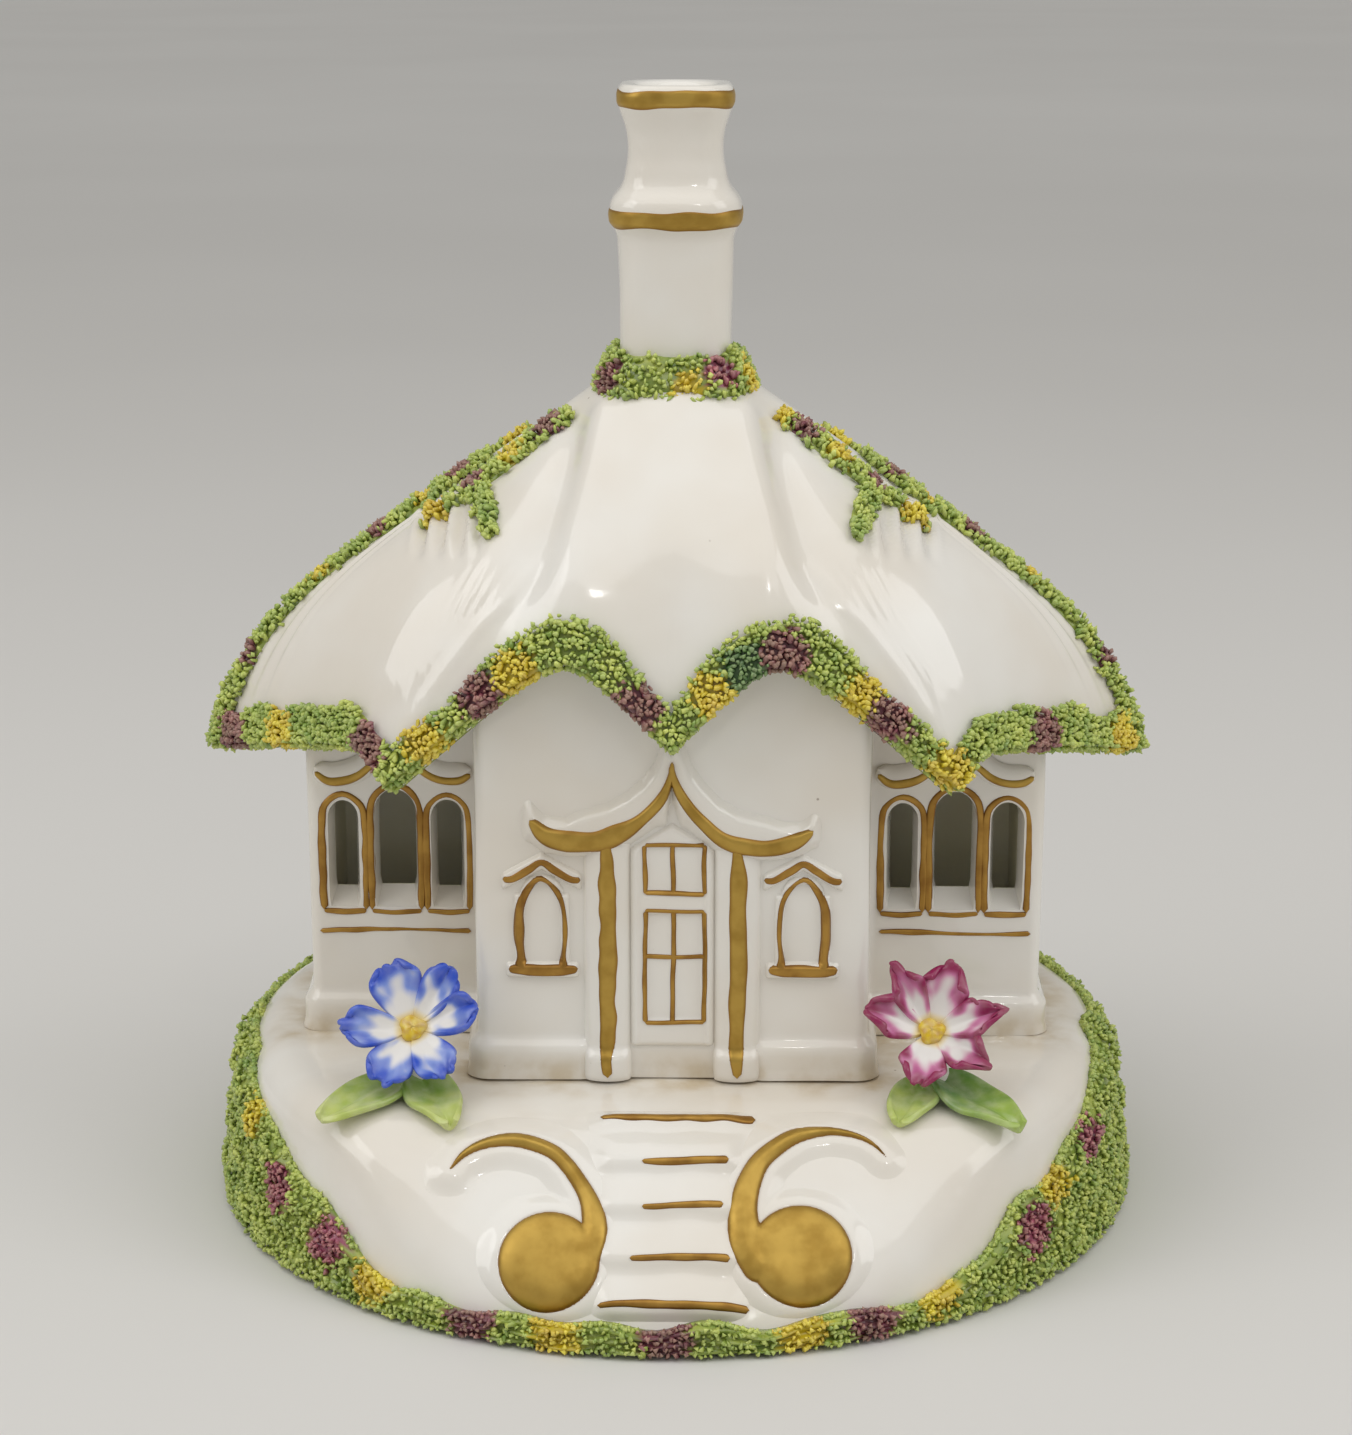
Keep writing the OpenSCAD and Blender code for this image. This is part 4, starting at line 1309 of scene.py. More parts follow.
@dataclass
class AppliedFlower:
    """Hand-made china flower with six petals, an eye and two leaves."""

    name: str
    side: Side
    slot: Slot
    petals: Sequence[PetalShape]
    rim_colour: Colour
    heart_colour: Colour
    leaves: Sequence[tuple[float, float, float, Colour, Colour]]
    centre: Triple = (30.6, -28.8, 28.2)
    tilt: float = 55.0
    plateau: float = PLATEAU
    point: float = 0.2

    def stand(self, points: Array) -> Array:
        """Tilt places in the flower's own frame and set them on the base.

        Args:
            points: Places in the flower's own frame.

        Returns:
            Places on the base.
        """
        turn = math.radians(self.tilt)
        x, y, z = points.T
        tilted = np.stack([x, y * math.cos(turn) - z * math.sin(turn),
                           y * math.sin(turn) + z * math.cos(turn)], axis=1)
        return tilted + np.array([self.centre[0] * self.side.value, self.centre[1], self.centre[2]])

    def build_petal(self, k: int, shape: PetalShape) -> Piece:
        """Shape one petal from a grid.

        Args:
            k: Number of the petal, which chooses its ruffle.
            shape: Its size, curl and place.

        Returns:
            The petal with its colours.
        """
        turn = math.radians(shape.turn)

        def surface(u: Array, v: Array) -> Array:
            """Give the petal's upper face in the base's frame.

            Args:
                u: Shares along the grid's first direction.
                v: Shares along its second direction.

            Returns:
                Places in millimetres.
            """
            across = 2 * u - 1
            breadth = shape.width * np.sqrt(np.clip(v, 0, 1)) * np.sqrt(np.maximum(1 - 0.86 * v**5, 0))
            tip = 1 - shape.notch * np.exp(-((across / 0.35) ** 2)) * v**3 - self.point * across**2 * v
            tip = tip + 0.05 * v**4 * ripple(across * 3, across * 0, 2.0, 35 + k)
            r = 0.6 + shape.length * v * tip
            wide = breadth * across
            z = shape.cup * v**1.6 + shape.curl * across**2 * v * (1.15 - v)
            z = z + 0.5 * v**2 * ripple(across * 2.2, v * 2, 2.2, 31 + k)
            z = z - 0.9 * np.maximum(v - 0.82, 0) * shape.cup
            x = r * np.cos(turn) - wide * np.sin(turn)
            y = r * np.sin(turn) + wide * np.cos(turn)
            return self.stand(np.stack([x, y, z + 0.12 * (k % 2)], axis=1))

        petal = Bench.wrap("petal", 18, 18, surface)
        Bench.modify(petal, "SOLIDIFY", thickness=0.75 * MM, offset=0.0)
        Bench.modify(petal, "SUBSURF", levels=1, render_levels=1)
        u, v = Bench.spread(petal).T
        across = np.abs(2 * u - 1)
        edge = np.maximum(v, 0.3 + 0.62 * across**1.5 * np.minimum(1, 2 * v))
        edge = edge + 0.13 * ripple(2 * u, 2 * v, 0.9, 40 + k)
        share = ease((edge - 0.42) / 0.5)[:, None]
        tint = np.where(share < 0.5, blend(shade(234, 231, 227), self.heart_colour, 2 * share),
                        blend(self.heart_colour, self.rim_colour, 2 * share - 1))
        heart = 0.75 * ease((0.24 - v) / 0.14)[:, None]
        Bench.colour(petal, blend(tint, shade(228, 196, 60), heart))
        return petal

    def build_petals(self) -> None:
        """Join the petals and a white stalk."""
        parts = [self.build_petal(k, shape) for k, shape in enumerate(self.petals)]
        stalk = Bench.wrap("stalk", 20, 12, self.stalk_places, closed=True)
        Bench.colour(stalk, np.tile(shade(232, 229, 222), (len(stalk.data.vertices), 1)))
        piece = Bench.join(f"petals_{self.name}", [*parts, stalk])
        Bench.smooth(piece)
        enamel = Enamel(f"{self.name}_petal_enamel", self.slot, rough=0.14, grain=500, bloom=0.12)
        Bench.dress(piece, enamel, Body.BASE, [f"{self.name}_petals"])

    def stalk_places(self, u: Array, v: Array) -> Array:
        """Give the short stalk from the plateau to the back of the petals.

        Args:
            u: Shares along the grid's first direction.
            v: Shares along its second direction.

        Returns:
            Places in millimetres.
        """
        turn = TAU * u
        share = np.clip(v * 1.2 - 0.1, 0, 1)
        r = lerp(2.6, 1.6, ease(share)) * np.where((v < 0.04) | (v > 0.96), 0.0, 1.0)
        x = self.centre[0] * self.side.value + r * np.cos(turn)
        y = self.centre[1] + 1.2 + r * np.sin(turn)
        return np.stack([x, y, lerp(self.plateau - 0.6, self.centre[2] + 0.4, share)], axis=1)

    def build_eye(self) -> None:
        """Set the soft yellow eye in the middle."""
        def surface(u: Array, v: Array) -> Array:
            """Give a low uneven knob.

            Args:
                u: Shares along the grid's first direction.
                v: Shares along its second direction.

            Returns:
                Places in millimetres.
            """
            turn, polar = TAU * u, np.pi * v
            r = 1.55 * np.sin(polar) * (1 + 0.1 * np.sin(3 * turn + 1) + 0.06 * np.sin(5 * turn))
            z = 0.6 + 0.75 * np.cos(polar) * (1 + 0.08 * np.sin(4 * turn))
            return self.stand(on_ring(r, turn, z))

        eye = Bench.wrap(f"eye_{self.name}", 40, 16, surface, closed=True)
        Bench.smooth(eye)
        points = Bench.points(eye)
        mark = 0.5 + 0.5 * ripple(points[:, 0], points[:, 2], 1.2, 51)
        Bench.colour(eye, blend(shade(232, 202, 46), shade(204, 158, 20), mark[:, None]))
        Bench.dress(eye, Enamel("eye_enamel", Slot.EYE, rough=0.2, grain=900), Body.BASE,
                    [f"{self.name}_eye"])

    def build_leaf(self, word: str, leaf: tuple[float, float, float, Colour, Colour], seed: int) -> None:
        """Lay one leaf on the plateau.

        Args:
            word: Left or right.
            leaf: Turn, length, half-width, stem colour and tip colour.
            seed: Choice of its ruffle.
        """
        turn, length, half, stem, tip = leaf
        angle = math.radians(turn)

        def surface(u: Array, v: Array) -> Array:
            """Give the leaf's upper face.

            Args:
                u: Shares along the grid's first direction.
                v: Shares along its second direction.

            Returns:
                Places in millimetres.
            """
            across = 2 * u - 1
            wide = half * across * np.sin(np.pi * np.clip(v, 0.02, 0.995) ** 0.8) ** 0.7
            r = 1.0 + length * v
            x = r * np.cos(angle) - wide * np.sin(angle) + self.centre[0] * self.side.value
            y = r * np.sin(angle) + wide * np.cos(angle) + self.centre[1] + 1.2
            lift = 1.5 * (1 - v) ** 1.5 + 0.55 + 0.55 * across**2 + 0.3 * ripple(across, v * 3, 2.2, seed)
            lift = lift - 0.25 * np.exp(-((across / 0.12) ** 2))
            ground = MoundBase().pressed(np.stack([x, y, np.full_like(x, self.plateau)], axis=1))[:, 2]
            return np.stack([x, y, ground + lift], axis=1)

        piece = Bench.wrap(f"leaf_{self.name}_{word}", 16, 26, surface)
        root = np.array([self.centre[0] * self.side.value, self.centre[1] + 1.2])
        if np.mean([p.normal.z for p in piece.data.polygons]) < 0:
            Bench.flip(piece)
        Bench.modify(piece, "SOLIDIFY", thickness=0.8 * MM, offset=-1.0)
        Bench.modify(piece, "SUBSURF", levels=1, render_levels=1)
        Bench.smooth(piece)
        points = Bench.points(piece)
        along = (np.linalg.norm(points[:, :2] - root, axis=1) - 1) / length
        share = ease(along * 1.1 - 0.15 + 0.12 * ripple(points[:, 0], points[:, 1], 3.0, seed))
        Bench.colour(piece, blend(stem, tip, share[:, None]))
        Bench.dress(piece, Enamel("leaf_enamel", Slot.LEAF, rough=0.18, grain=450), Body.BASE,
                    [f"{self.name}_leaf_{word}"])

    def build(self) -> None:
        """Make the petals, the eye and the leaves."""
        self.build_petals()
        self.build_eye()
        for word, leaf, seed in zip(("left", "right"), self.leaves, (61, 62)):
            self.build_leaf(word, leaf, seed)


@dataclass
class DrapedRoof:
    """Cloth-like china roof that hangs from the chimney to eight tips."""

    tips: Sequence[Triple] = ((0, -30.4, 63), (33.3, -26.8, 57.5), (57.8, 0, 55.2), (33.3, 26.8, 57.5),
                              (0, 30.4, 63), (-33.3, 26.8, 57.5), (-57.8, 0, 55.2), (-33.3, -26.8, 57.5))
    front_rise: float = 11.8
    side_rise: float = 3.9
    top_r: float = 9.4
    top_z: float = 101.0
    edge: float = 2.2
    samples: int = 200
    blur: float = 0.22
    blur_samples: int = 90
    eave: Array = field(init=False)
    soft_eave: Array = field(init=False)
    straight: Array = field(init=False)
    crown: Array = field(init=False)
    angle: Array = field(init=False)

    def __post_init__(self) -> None:
        """Work out the eaves at many places round the roof, once."""
        w = np.arange(8 * self.samples) / self.samples
        k, s = w.astype(int), w - w.astype(int)
        tips = np.array([*self.tips, self.tips[0]], dtype=float)
        front = (k % 4 == 0) | (k % 4 == 3)
        apex = np.where(front, 0.385, 0.14)
        apex = np.where(k % 4 >= 2, 1 - apex, apex)
        u = np.where(s < apex, (apex - s) / apex, (s - apex) / (1 - apex))
        arch = 1 - (np.hypot(u, 0.25) - 0.25) / (math.hypot(1, 0.25) - 0.25)
        self.eave = lerp(tips[k], tips[k + 1], s[:, None])
        self.eave[:, 2] += np.where(front, self.front_rise, self.side_rise) * arch
        straight = np.where(front, 0.42, 0.16) * ease(arch)
        self.crown = np.where(front, ease(arch), 0.0)
        far = self.blur_samples
        reach = np.exp(-0.5 * (np.arange(-far, far + 1) / (self.blur * self.samples)) ** 2)
        reach /= reach.sum()
        both = np.column_stack([self.eave, straight])
        wide = np.vstack([both[-far:], both, both[:far]])
        soft = np.stack([np.convolve(column, reach, "valid") for column in wide.T], axis=1)
        self.soft_eave, self.straight = soft[:, :3], soft[:, 3]
        self.angle = np.unwrap(np.arctan2(self.eave[:, 1], self.eave[:, 0]))

    def pick(self, table: Array, w: Array) -> Array:
        """Read a table round the roof at places 0..8.

        Args:
            table: Values round the roof.
            w: Places round it.

        Returns:
            The values there.
        """
        spot = np.mod(w, 8.0) * self.samples
        first = spot.astype(int) % len(table)
        share = spot - np.floor(spot)
        after = table[(first + 1) % len(table)]
        if table.ndim > 1:
            share = share[:, None]
        return lerp(table[first], after, share)

    def crest(self, x: Array, y: Array, t: Array) -> Array:
        """Give the height of the crests that run down to the arches and of the hollows outside them.

        Args:
            x: Distances to the right of the centre.
            y: Distances behind the centre.
            t: Share of the way down.

        Returns:
            Heights straight up.
        """
        out = np.abs(x) - lerp(8.93, 12.82, t)
        ridge = np.exp(-((out / 2.8) ** 2))
        hollow = np.exp(-(((out - 2.0 - 7.0 * t**3) / (1.8 + 2.8 * t * t)) ** 2))
        swell = ease(np.abs(y) / 9) * ease(t / 0.12) * ease((1 - t) / 0.3)
        return swell * (1.3 * ridge - 2.0 * hollow)

    def folds(self, w: Array, t: Array, x: Array, eave: Array) -> Array:
        """Give the height of the cloth's pleats and flutes.

        Args:
            w: Place round the roof.
            t: Share of the way down.
            x: Distances to the right of the centre.
            eave: Points on the eaves in the same directions.

        Returns:
            Heights along the roof's outward direction.
        """
        bearing = np.degrees(np.arctan2(np.abs(eave[:, 1]), np.abs(eave[:, 0])))
        full = np.degrees(np.arctan2(eave[:, 1], eave[:, 0]))
        drift = 1.2 * ripple(t * 3, full / 40, 2.0, 71)
        aside = np.abs(x) + 0.25 * drift
        flutes = within(aside, 22.6, 31.6, 1.6) * within(t, 0.47, 0.63, 0.12)
        flutes = flutes * (np.cos(TAU * (aside - 23.9) / 2.55) - 0.4)
        pleats = within(bearing, 2.2, 8, 2) * within(t, 0.45, 0.96, 0.25)
        pleats = pleats * np.cos(TAU * (bearing + 0.3 * drift) / 2.4)
        corner = np.abs(np.mod(w + 2, 4) - 2)
        course = np.interp(t, [0.6, 0.68, 0.81, 0.88, 0.92, 0.96], [0.62, 0.64, 0.7, 0.8, 0.88, 0.97])
        beside = 34 * t * (corner - course)
        edge = within(t, 0.66, 0.95, 0.12) * np.exp(-((beside / 1.3) ** 2))
        lines = within(beside, 0.5, 7, 2) * within(t, 0.7, 0.95, 0.12)
        lines = lines * np.cos(TAU * (beside + 0.3 * drift) / 1.5)
        body = within(t, 0.1, 0.95, 0.2) * ripple(full / 9.0, t * 6, 5.0, 72)
        return 0.75 * flutes + 0.2 * pleats + 0.35 * edge + 0.09 * lines + 0.14 * body

    def point(self, w: Array, t: Array, depth: Array, folded: bool = True) -> Array:
        """Give places on the roof.

        Args:
            w: Place round the roof, one unit for each panel from the front tip.
            t: Share of the way from the chimney to the eaves.
            depth: 0 on the outside and 1 on the inside.
            folded: Whether the pleats are added.

        Returns:
            Places in millimetres.
        """
        w, t, depth = np.broadcast_arrays(w, t, depth)
        sharp = ease((t - 0.6) / 0.36)[:, None]
        eave = lerp(self.pick(self.soft_eave, w), self.pick(self.eave, w), sharp)
        aside = (eave[:, 0] / self.tips[2][0]) ** 2
        slope = lerp(lerp(0.55, 0.72, aside), 1.0, self.pick(self.straight, w))
        fall = slope * t + (1 - slope) * t ** lerp(6.0, 10.0, aside)
        eave_r = np.hypot(eave[:, 0], eave[:, 1])
        r = lerp(self.top_r, eave_r - depth * self.edge, t)
        x, y = r * eave[:, 0] / eave_r, r * eave[:, 1] / eave_r
        z = lerp(self.top_z, eave[:, 2], fall) + self.crest(x, y, t) - depth * lerp(2.6, 0.6, t**4)
        if folded:
            rise = self.folds(w, t, x, eave) * (1 - depth)
            r, z = r + 0.55 * rise, z + 0.8 * rise
        return np.stack([r * eave[:, 0] / eave_r, r * eave[:, 1] / eave_r, z], axis=1)

    def normal(self, w: Array, t: Array) -> Array:
        """Give the outward directions of the plain outer face.

        Args:
            w: Places round the roof.
            t: Shares of the way down.

        Returns:
            One direction of length 1 per place.
        """
        w, t = np.broadcast_arrays(w, t)
        t = np.clip(t, 0.01, 0.992)
        zero = np.zeros_like(t)
        along = self.point(w + 0.01, t, zero, False) - self.point(w - 0.01, t, zero, False)
        down = self.point(w, t + 0.005, zero, False) - self.point(w, t - 0.005, zero, False)
        return unit(np.cross(down, along))

    def under(self, x: Array, y: Array) -> Array:
        """Give the height of the roof's inside over places on the plan.

        Args:
            x: Places from left to right.
            y: Places from front to back.

        Returns:
            Heights in millimetres.
        """
        bearing = np.arctan2(y, x)
        turn = np.mod(bearing - self.angle[0], TAU)
        w = np.interp(turn, self.angle - self.angle[0], np.arange(len(self.angle)) / self.samples)
        eave = self.pick(self.eave, w)
        eave_r = np.hypot(eave[:, 0], eave[:, 1]) - self.edge
        t = np.clip((np.hypot(x, y) - self.top_r) / (eave_r - self.top_r), 0, 1)
        return self.point(w, t, np.ones_like(t), False)[:, 2]

    def build(self) -> None:
        """Lay the roof's outside, rim and inside as one closed sheet."""
        def surface(u: Array, v: Array) -> Array:
            """Go down the outside, round the rim, up the inside and back to the start.

            Args:
                u: Shares along the grid's first direction.
                v: Shares along its second direction.

            Returns:
                Places in millimetres.
            """
            t = np.interp(v, [0, 0.6, 0.66, 0.97, 1.0], [0, 1, 1, 0, 0])
            depth = np.interp(v, [0, 0.6, 0.66, 0.97, 1.0], [0, 0, 1, 1, 0])
            return self.point(8 * u, t, depth)

        roof = Bench.wrap("draped_roof", 480, 130, surface, closed=True)
        Bench.smooth(roof, 50)
        Bench.dress(roof, CHINA, Body.HOUSE, ["roof"])


@dataclass
class HouseWalls:
    """Hollow walls on a cross plan, with a soft plinth and pierced wing windows."""

    roof: DrapedRoof
    block: tuple[float, float] = (23.4, 25.0)
    wings: tuple[float, float] = (45.2, 9.4)
    foot: float = PLATEAU
    thickness: float = 2.8
    plinth_top: float = 25.4
    plinth_out: float = 1.1
    corner_r: float = 1.5
    window_x: float = WINDOW_X
    pitch: float = WINDOW_PITCH
    windows: Sequence[Triple] = ((-1, 1.35, 48.2), (0, 2.25, 48.6), (1, 1.5, 48.2))

    def outline(self) -> tuple[Array, Array]:
        """Trace the cross with rounded corners.

        Returns:
            Points on the plan and their outward directions.
        """
        bx, by = self.block
        wx, wy = self.wings
        quarter = [(bx, -by), (bx, -wy), (wx, -wy), (wx, wy), (bx, wy), (bx, by)]
        corners = np.array(quarter + [(-x, -y) for x, y in quarter], dtype=float)
        points, outs = [], []
        for k, corner in enumerate(corners):
            before = corners[k - 1]
            after = corners[(k + 1) % len(corners)]
            enter = (corner - before) / np.linalg.norm(corner - before)
            leave = (after - corner) / np.linalg.norm(after - corner)
            bend = enter[0] * leave[1] - enter[1] * leave[0]
            start = corner - enter * self.corner_r
            out = np.array([enter[1], -enter[0]])
            hub = start - out * self.corner_r * np.sign(bend)
            first = math.atan2(*(start - hub)[::-1])
            for share in np.linspace(0, 1, 7):
                turn = first + np.sign(bend) * share * math.pi / 2
                ray = np.array([math.cos(turn), math.sin(turn)])
                points.append(hub + self.corner_r * ray)
                outs.append(ray * np.sign(bend))
            stop = after - leave * self.corner_r
            begin = points[-1]
            count = int(np.linalg.norm(stop - begin) / 0.9)
            for share in np.arange(1, count) / count:
                points.append(lerp(begin, stop, share))
                outs.append(np.array([leave[1], -leave[0]]))
        return np.array(points), np.array(outs)

    def build_shell(self) -> Piece:
        """Raise the walls from the outline up to the roof's inside.

        Returns:
            The walls, without their windows.
        """
        points, outs = self.outline()
        count = len(points)
        tops = self.roof.under(points[:, 0], points[:, 1]) + 0.7

        def surface(u: Array, v: Array) -> Array:
            """Give the walls' outer face.

            Args:
                u: Shares along the grid's first direction.
                v: Shares along its second direction.

            Returns:
                Places in millimetres.
            """
            k = np.round(u * count).astype(int) % count
            low = np.interp(v, [0, 0.3, 1.0], [0, 7.0, 7.0])
            z = self.foot + low + (tops[k] - self.foot - 7.0) * np.clip((v - 0.3) / 0.7, 0, 1)
            door = within(points[k][:, 0], -9.6, 9.6, 2.0) * (points[k][:, 1] < -20)
            flare = self.plinth_out * ease((self.plinth_top + 0.9 - z) / 1.8) * (1 - 0.75 * door)
            flare = flare + 0.25 * ease((self.foot + 1.2 - z) / 1.2)
            wave = 0.1 * ripple(points[k][:, 0] + points[k][:, 1], z, 19, 81)
            plan = points[k] + outs[k] * (flare + wave)[:, None]
            return np.stack([plan[:, 0], plan[:, 1], z], axis=1)

        walls = Bench.wrap("walls", count, 56, surface)
        spot = max(walls.data.polygons, key=lambda p: p.center.x)
        if spot.normal.x < 0:
            Bench.flip(walls)
        Bench.modify(walls, "SOLIDIFY", thickness=self.thickness * MM, offset=-1.0, use_even_offset=True)
        return walls

    def build_cutter(self, x: float, half: float, top: float) -> Piece:
        """Make a splayed arched plug for one window.

        Args:
            x: Middle of the window.
            half: Half-width of its opening at the back of the wall.
            top: Height where its arch springs.

        Returns:
            The plug, wide in front and narrow behind.
        """
        sill, wide = 39.2, half + 0.75
        Bench.pick()
        bpy.ops.mesh.primitive_circle_add(vertices=32, radius=1.0, fill_type="NGON")
        plug = Bench.named("plug")
        turn = np.arctan2(Bench.points(plug)[:, 1], Bench.points(plug)[:, 0])
        arch_z = top + np.maximum(np.sin(turn), 0) * wide * 1.15
        leg = np.clip(-np.sin(turn) * 1.6, 0, 1)
        z = np.where(np.sin(turn) > 0, arch_z, lerp(top, sill - 2.6, leg))
        xs = np.where(np.sin(turn) > 0, wide * np.cos(turn),
                      np.where(leg < 1, np.sign(np.cos(turn)) * wide, np.cos(turn) * wide / 0.78))
        Bench.place(plug, np.stack([x + xs, np.full_like(xs, -12.4), z], axis=1))
        steps = [(2.7, 0.94, 0.985), (0.5, 0.94, 0.985), (2.4, half / wide / 0.884, 0.86), (3.0, 1.0, 1.0)]
        crown = (x * MM, 0, (top + wide) * MM)
        with Bench.editing(plug, "FACE"):
            for deep, narrow, low in steps:
                bpy.ops.mesh.extrude_region_move(TRANSFORM_OT_translate={"value": (0, deep * MM, 0)})
                bpy.ops.transform.resize(value=(narrow, 1, low), center_override=crown)
        Bench.outwards(plug)
        return plug

    def build(self) -> None:
        """Raise the walls, pierce the windows and give the inside a paler china, painted light on the shaded
        inside.
        """
        walls = self.build_shell()
        plugs = []
        for side in Side:
            for step, half, top in self.windows:
                plugs.append(self.build_cutter(side.value * self.window_x + step * self.pitch, half, top))
        plug = Bench.join("plugs", plugs)
        Bench.modify(walls, "BOOLEAN", operation="DIFFERENCE", object=plug, solver="EXACT")
        bpy.data.objects.remove(plug, do_unlink=True)
        Bench.smooth(walls, 40)
        Bench.dress(walls, WALL_CHINA, Body.HOUSE, ["house_walls"])
        # The inner faces get the paler inside china, painted light.
        walls.data.materials.append(INSIDE_PAINTED_LIGHT.material())
        inset = self.thickness - 0.3
        for polygon in walls.data.polygons:
            x, y = abs(polygon.center.x) / MM, abs(polygon.center.y) / MM
            in_block = x < self.block[0] - inset and y < self.block[1] - inset
            in_wings = x < self.wings[0] - inset and y < self.wings[1] - inset
            polygon.material_index = 1 if in_block or in_wings else 0


@dataclass
class PorchFront:
    """Door, half-columns, canopy and blind windows in soft relief, with their gold."""

    canopy_left: Sequence[Triple] = (
        (-16.7, 53.3, 0.5), (-15.0, 51.6, 1.1), (-12.4, 50.6, 1.3), (-9.8, 50.7, 1.38), (-7.5, 51.2, 1.3),
        (-5.5, 52.1, 1.1), (-3.6, 53.5, 0.86), (-1.9, 55.2, 0.68), (-0.7, 57.0, 0.58), (-0.05, 58.9, 0.45),
        (0.0, 60.5, 0.2))
    canopy_right: Sequence[Triple] = (
        (-0.05, 60.2, 0.3), (0.15, 58.6, 0.5), (0.9, 56.7, 0.58), (2.2, 54.7, 0.68), (3.8, 52.9, 0.8),
        (5.6, 51.3, 0.95), (7.7, 50.4, 1.05), (10.2, 50.0, 1.1), (12.6, 50.3, 1.08), (14.8, 51.0, 0.95),
        (16.5, 52.2, 0.45))
    column_x: float = 7.7
    niche_x: float = 15.4

    def canopy_height(self, a: Array, b: Array) -> Array:
        """Give the height of the canopy's soft moulding.

        Args:
            a: Distances across the front.
            b: Heights on it.

        Returns:
            Heights out of the wall.
        """
        line = np.array(sorted([p[:2] for p in (*self.canopy_left[:-1], *self.canopy_right[1:])]))
        middle = np.interp(a, line[:, 0], line[:, 1])
        steep = np.interp(a, line[:, 0], np.abs(np.gradient(line[:, 1], line[:, 0])))
        over = (b - middle) / np.hypot(1, steep)
        ends = within(a, -17.2, 17.0, 1.6)
        peak = lerp(0.75, 1.0, ease(np.abs(a) / 8))
        upper = 3.3 * peak * lerp(1.0, 0.3, ease((np.abs(a) - 9.5) / 6.5))
        return 1.35 * within(over, -1.7 * peak, upper, 1.7) * ends

    def column_height(self, a: Array, b: Array) -> Array:
        """Give the height of the two broad half-round columns.

        Args:
            a: Distances across the front.
            b: Heights on it.

        Returns:
            Heights out of the wall.
        """
        across = (np.abs(a) - self.column_x) / 2.75
        round_face = np.sqrt(np.maximum(1 - across**2, 0)) * 1.35
        foot = 0.9 * ease((25.2 - b) / 1.5)
        return np.where(np.abs(across) < 1, round_face + foot, 0.0) * within(b, 20.2, 50.6, 0.8)

    def door_height(self, a: Array, b: Array) -> Array:
        """Give the height of the door's panel with its pointed head.

        Args:
            a: Distances across the front.
            b: Heights on it.

        Returns:
            Heights out of the wall.
        """
        head = 52.9 - 0.62 * np.abs(a)
        panel = within(a, -4.75, 4.75, 0.9) * ease((head - b) / 0.9) * ease((b - 24.6) / 0.9)
        frame_line = within(np.abs(a), 4.0, 4.9, 0.6) * ease((head - b) / 0.9) * ease((b - 24.6) / 0.9)
        lights = within(a, -3.1, 3.7, 0.7) * (within(b, 28.4, 41.8, 0.7) + within(b, 44.3, 50.0, 0.7))
        return 0.75 * panel + 0.25 * frame_line - 0.3 * lights

    def niche_height(self, a: Array, b: Array) -> Array:
        """Give the relief of the two blind windows: a sunk light, a sill and a hood.

        Args:
            a: Distances across the front.
            b: Heights on it.

        Returns:
            Heights out of the wall.
        """
        across = np.abs(a) - self.niche_x
        arch = 43.3 + 2.3 * np.sqrt(np.maximum(1 - (across / 2.5) ** 2, 0))
        inside = within(across, -2.3, 2.3, 0.5) * ease((arch - b) / 0.5) * ease((b - 35.2) / 0.5)
        ring = within(across, -3.2, 3.2, 0.6) * ease((arch + 0.9 - b) / 0.6) * ease((b - 34.6) / 0.6)
        sill = 0.75 * within(across, -4.2, 4.2, 0.7) * within(b, 33.6, 35.3, 0.6)
        hood = 0.7 * within(across, -4.6, 4.6, 0.8) * within(b + 0.55 * np.abs(across), 47.0, 48.9, 0.8)
        return np.maximum(np.maximum(0.5 * ring - 0.45 * inside, sill), hood)

    def relief(self, a: Array, b: Array) -> Array:
        """Give the height of everything moulded on the front wall.

        Args:
            a: Distances across the front.
            b: Heights on it.

        Returns:
            Heights out of the wall.
        """
        parts = [self.canopy_height(a, b), self.column_height(a, b), self.door_height(a, b),
                 self.niche_height(a, b)]
        return np.maximum.reduce(parts)

    def stroke(self, path: Sequence[Triple], seed: int, film: float = 0.14, dome: float = 0.08) -> Piece:
        """Paint one gold stroke over the relief."""
        brush = BrushStroke(path, FRONT_WALL, self.relief, film, dome, waver=0.14, seed=seed)
        return brush.build("gold", 64)

    def build_relief(self) -> None:
        """Mould the white shapes."""
        parts = [
            ("canopy", (-18.4, 18.2, 48.2, 62.6), self.canopy_height, 130, 60, []),
            ("door", (-5.6, 5.6, 23.9, 53.6), self.door_height, 56, 130, ["porch_door"]),
        ]
        for side in Side:
            word, s = side.word, side.value
            low, high = sorted((s * (self.column_x - 3.1), s * (self.column_x + 3.1)))
            parts.append((f"column_body_{word}", (low, high, 21.0, 51.0), self.column_height, 30, 90, []))
            low, high = sorted((s * (self.niche_x - 5.2), s * (self.niche_x + 5.2)))
            parts.append((f"blind_window_{word}", (low, high, 33.0, 49.6), self.niche_height, 56, 84,
                          [f"niche_{word}"]))
        for name, span, height, columns, rows, nodes in parts:
            patch = ReliefPatch(FRONT_WALL, span, height, sink=0.25)
            Bench.dress(patch.build(name, columns, rows), CHINA, Body.HOUSE, nodes)

    def build_canopy_gold(self) -> None:
        """Paint the canopy's two sweeps."""
        left = self.stroke(self.canopy_left, 101, 0.16, 0.3)
        right = self.stroke(self.canopy_right, 102, 0.16, 0.3)
        Bench.dress(Bench.join("canopy_gold", [left, right]), GOLD, Body.HOUSE, ["porch_canopy"])

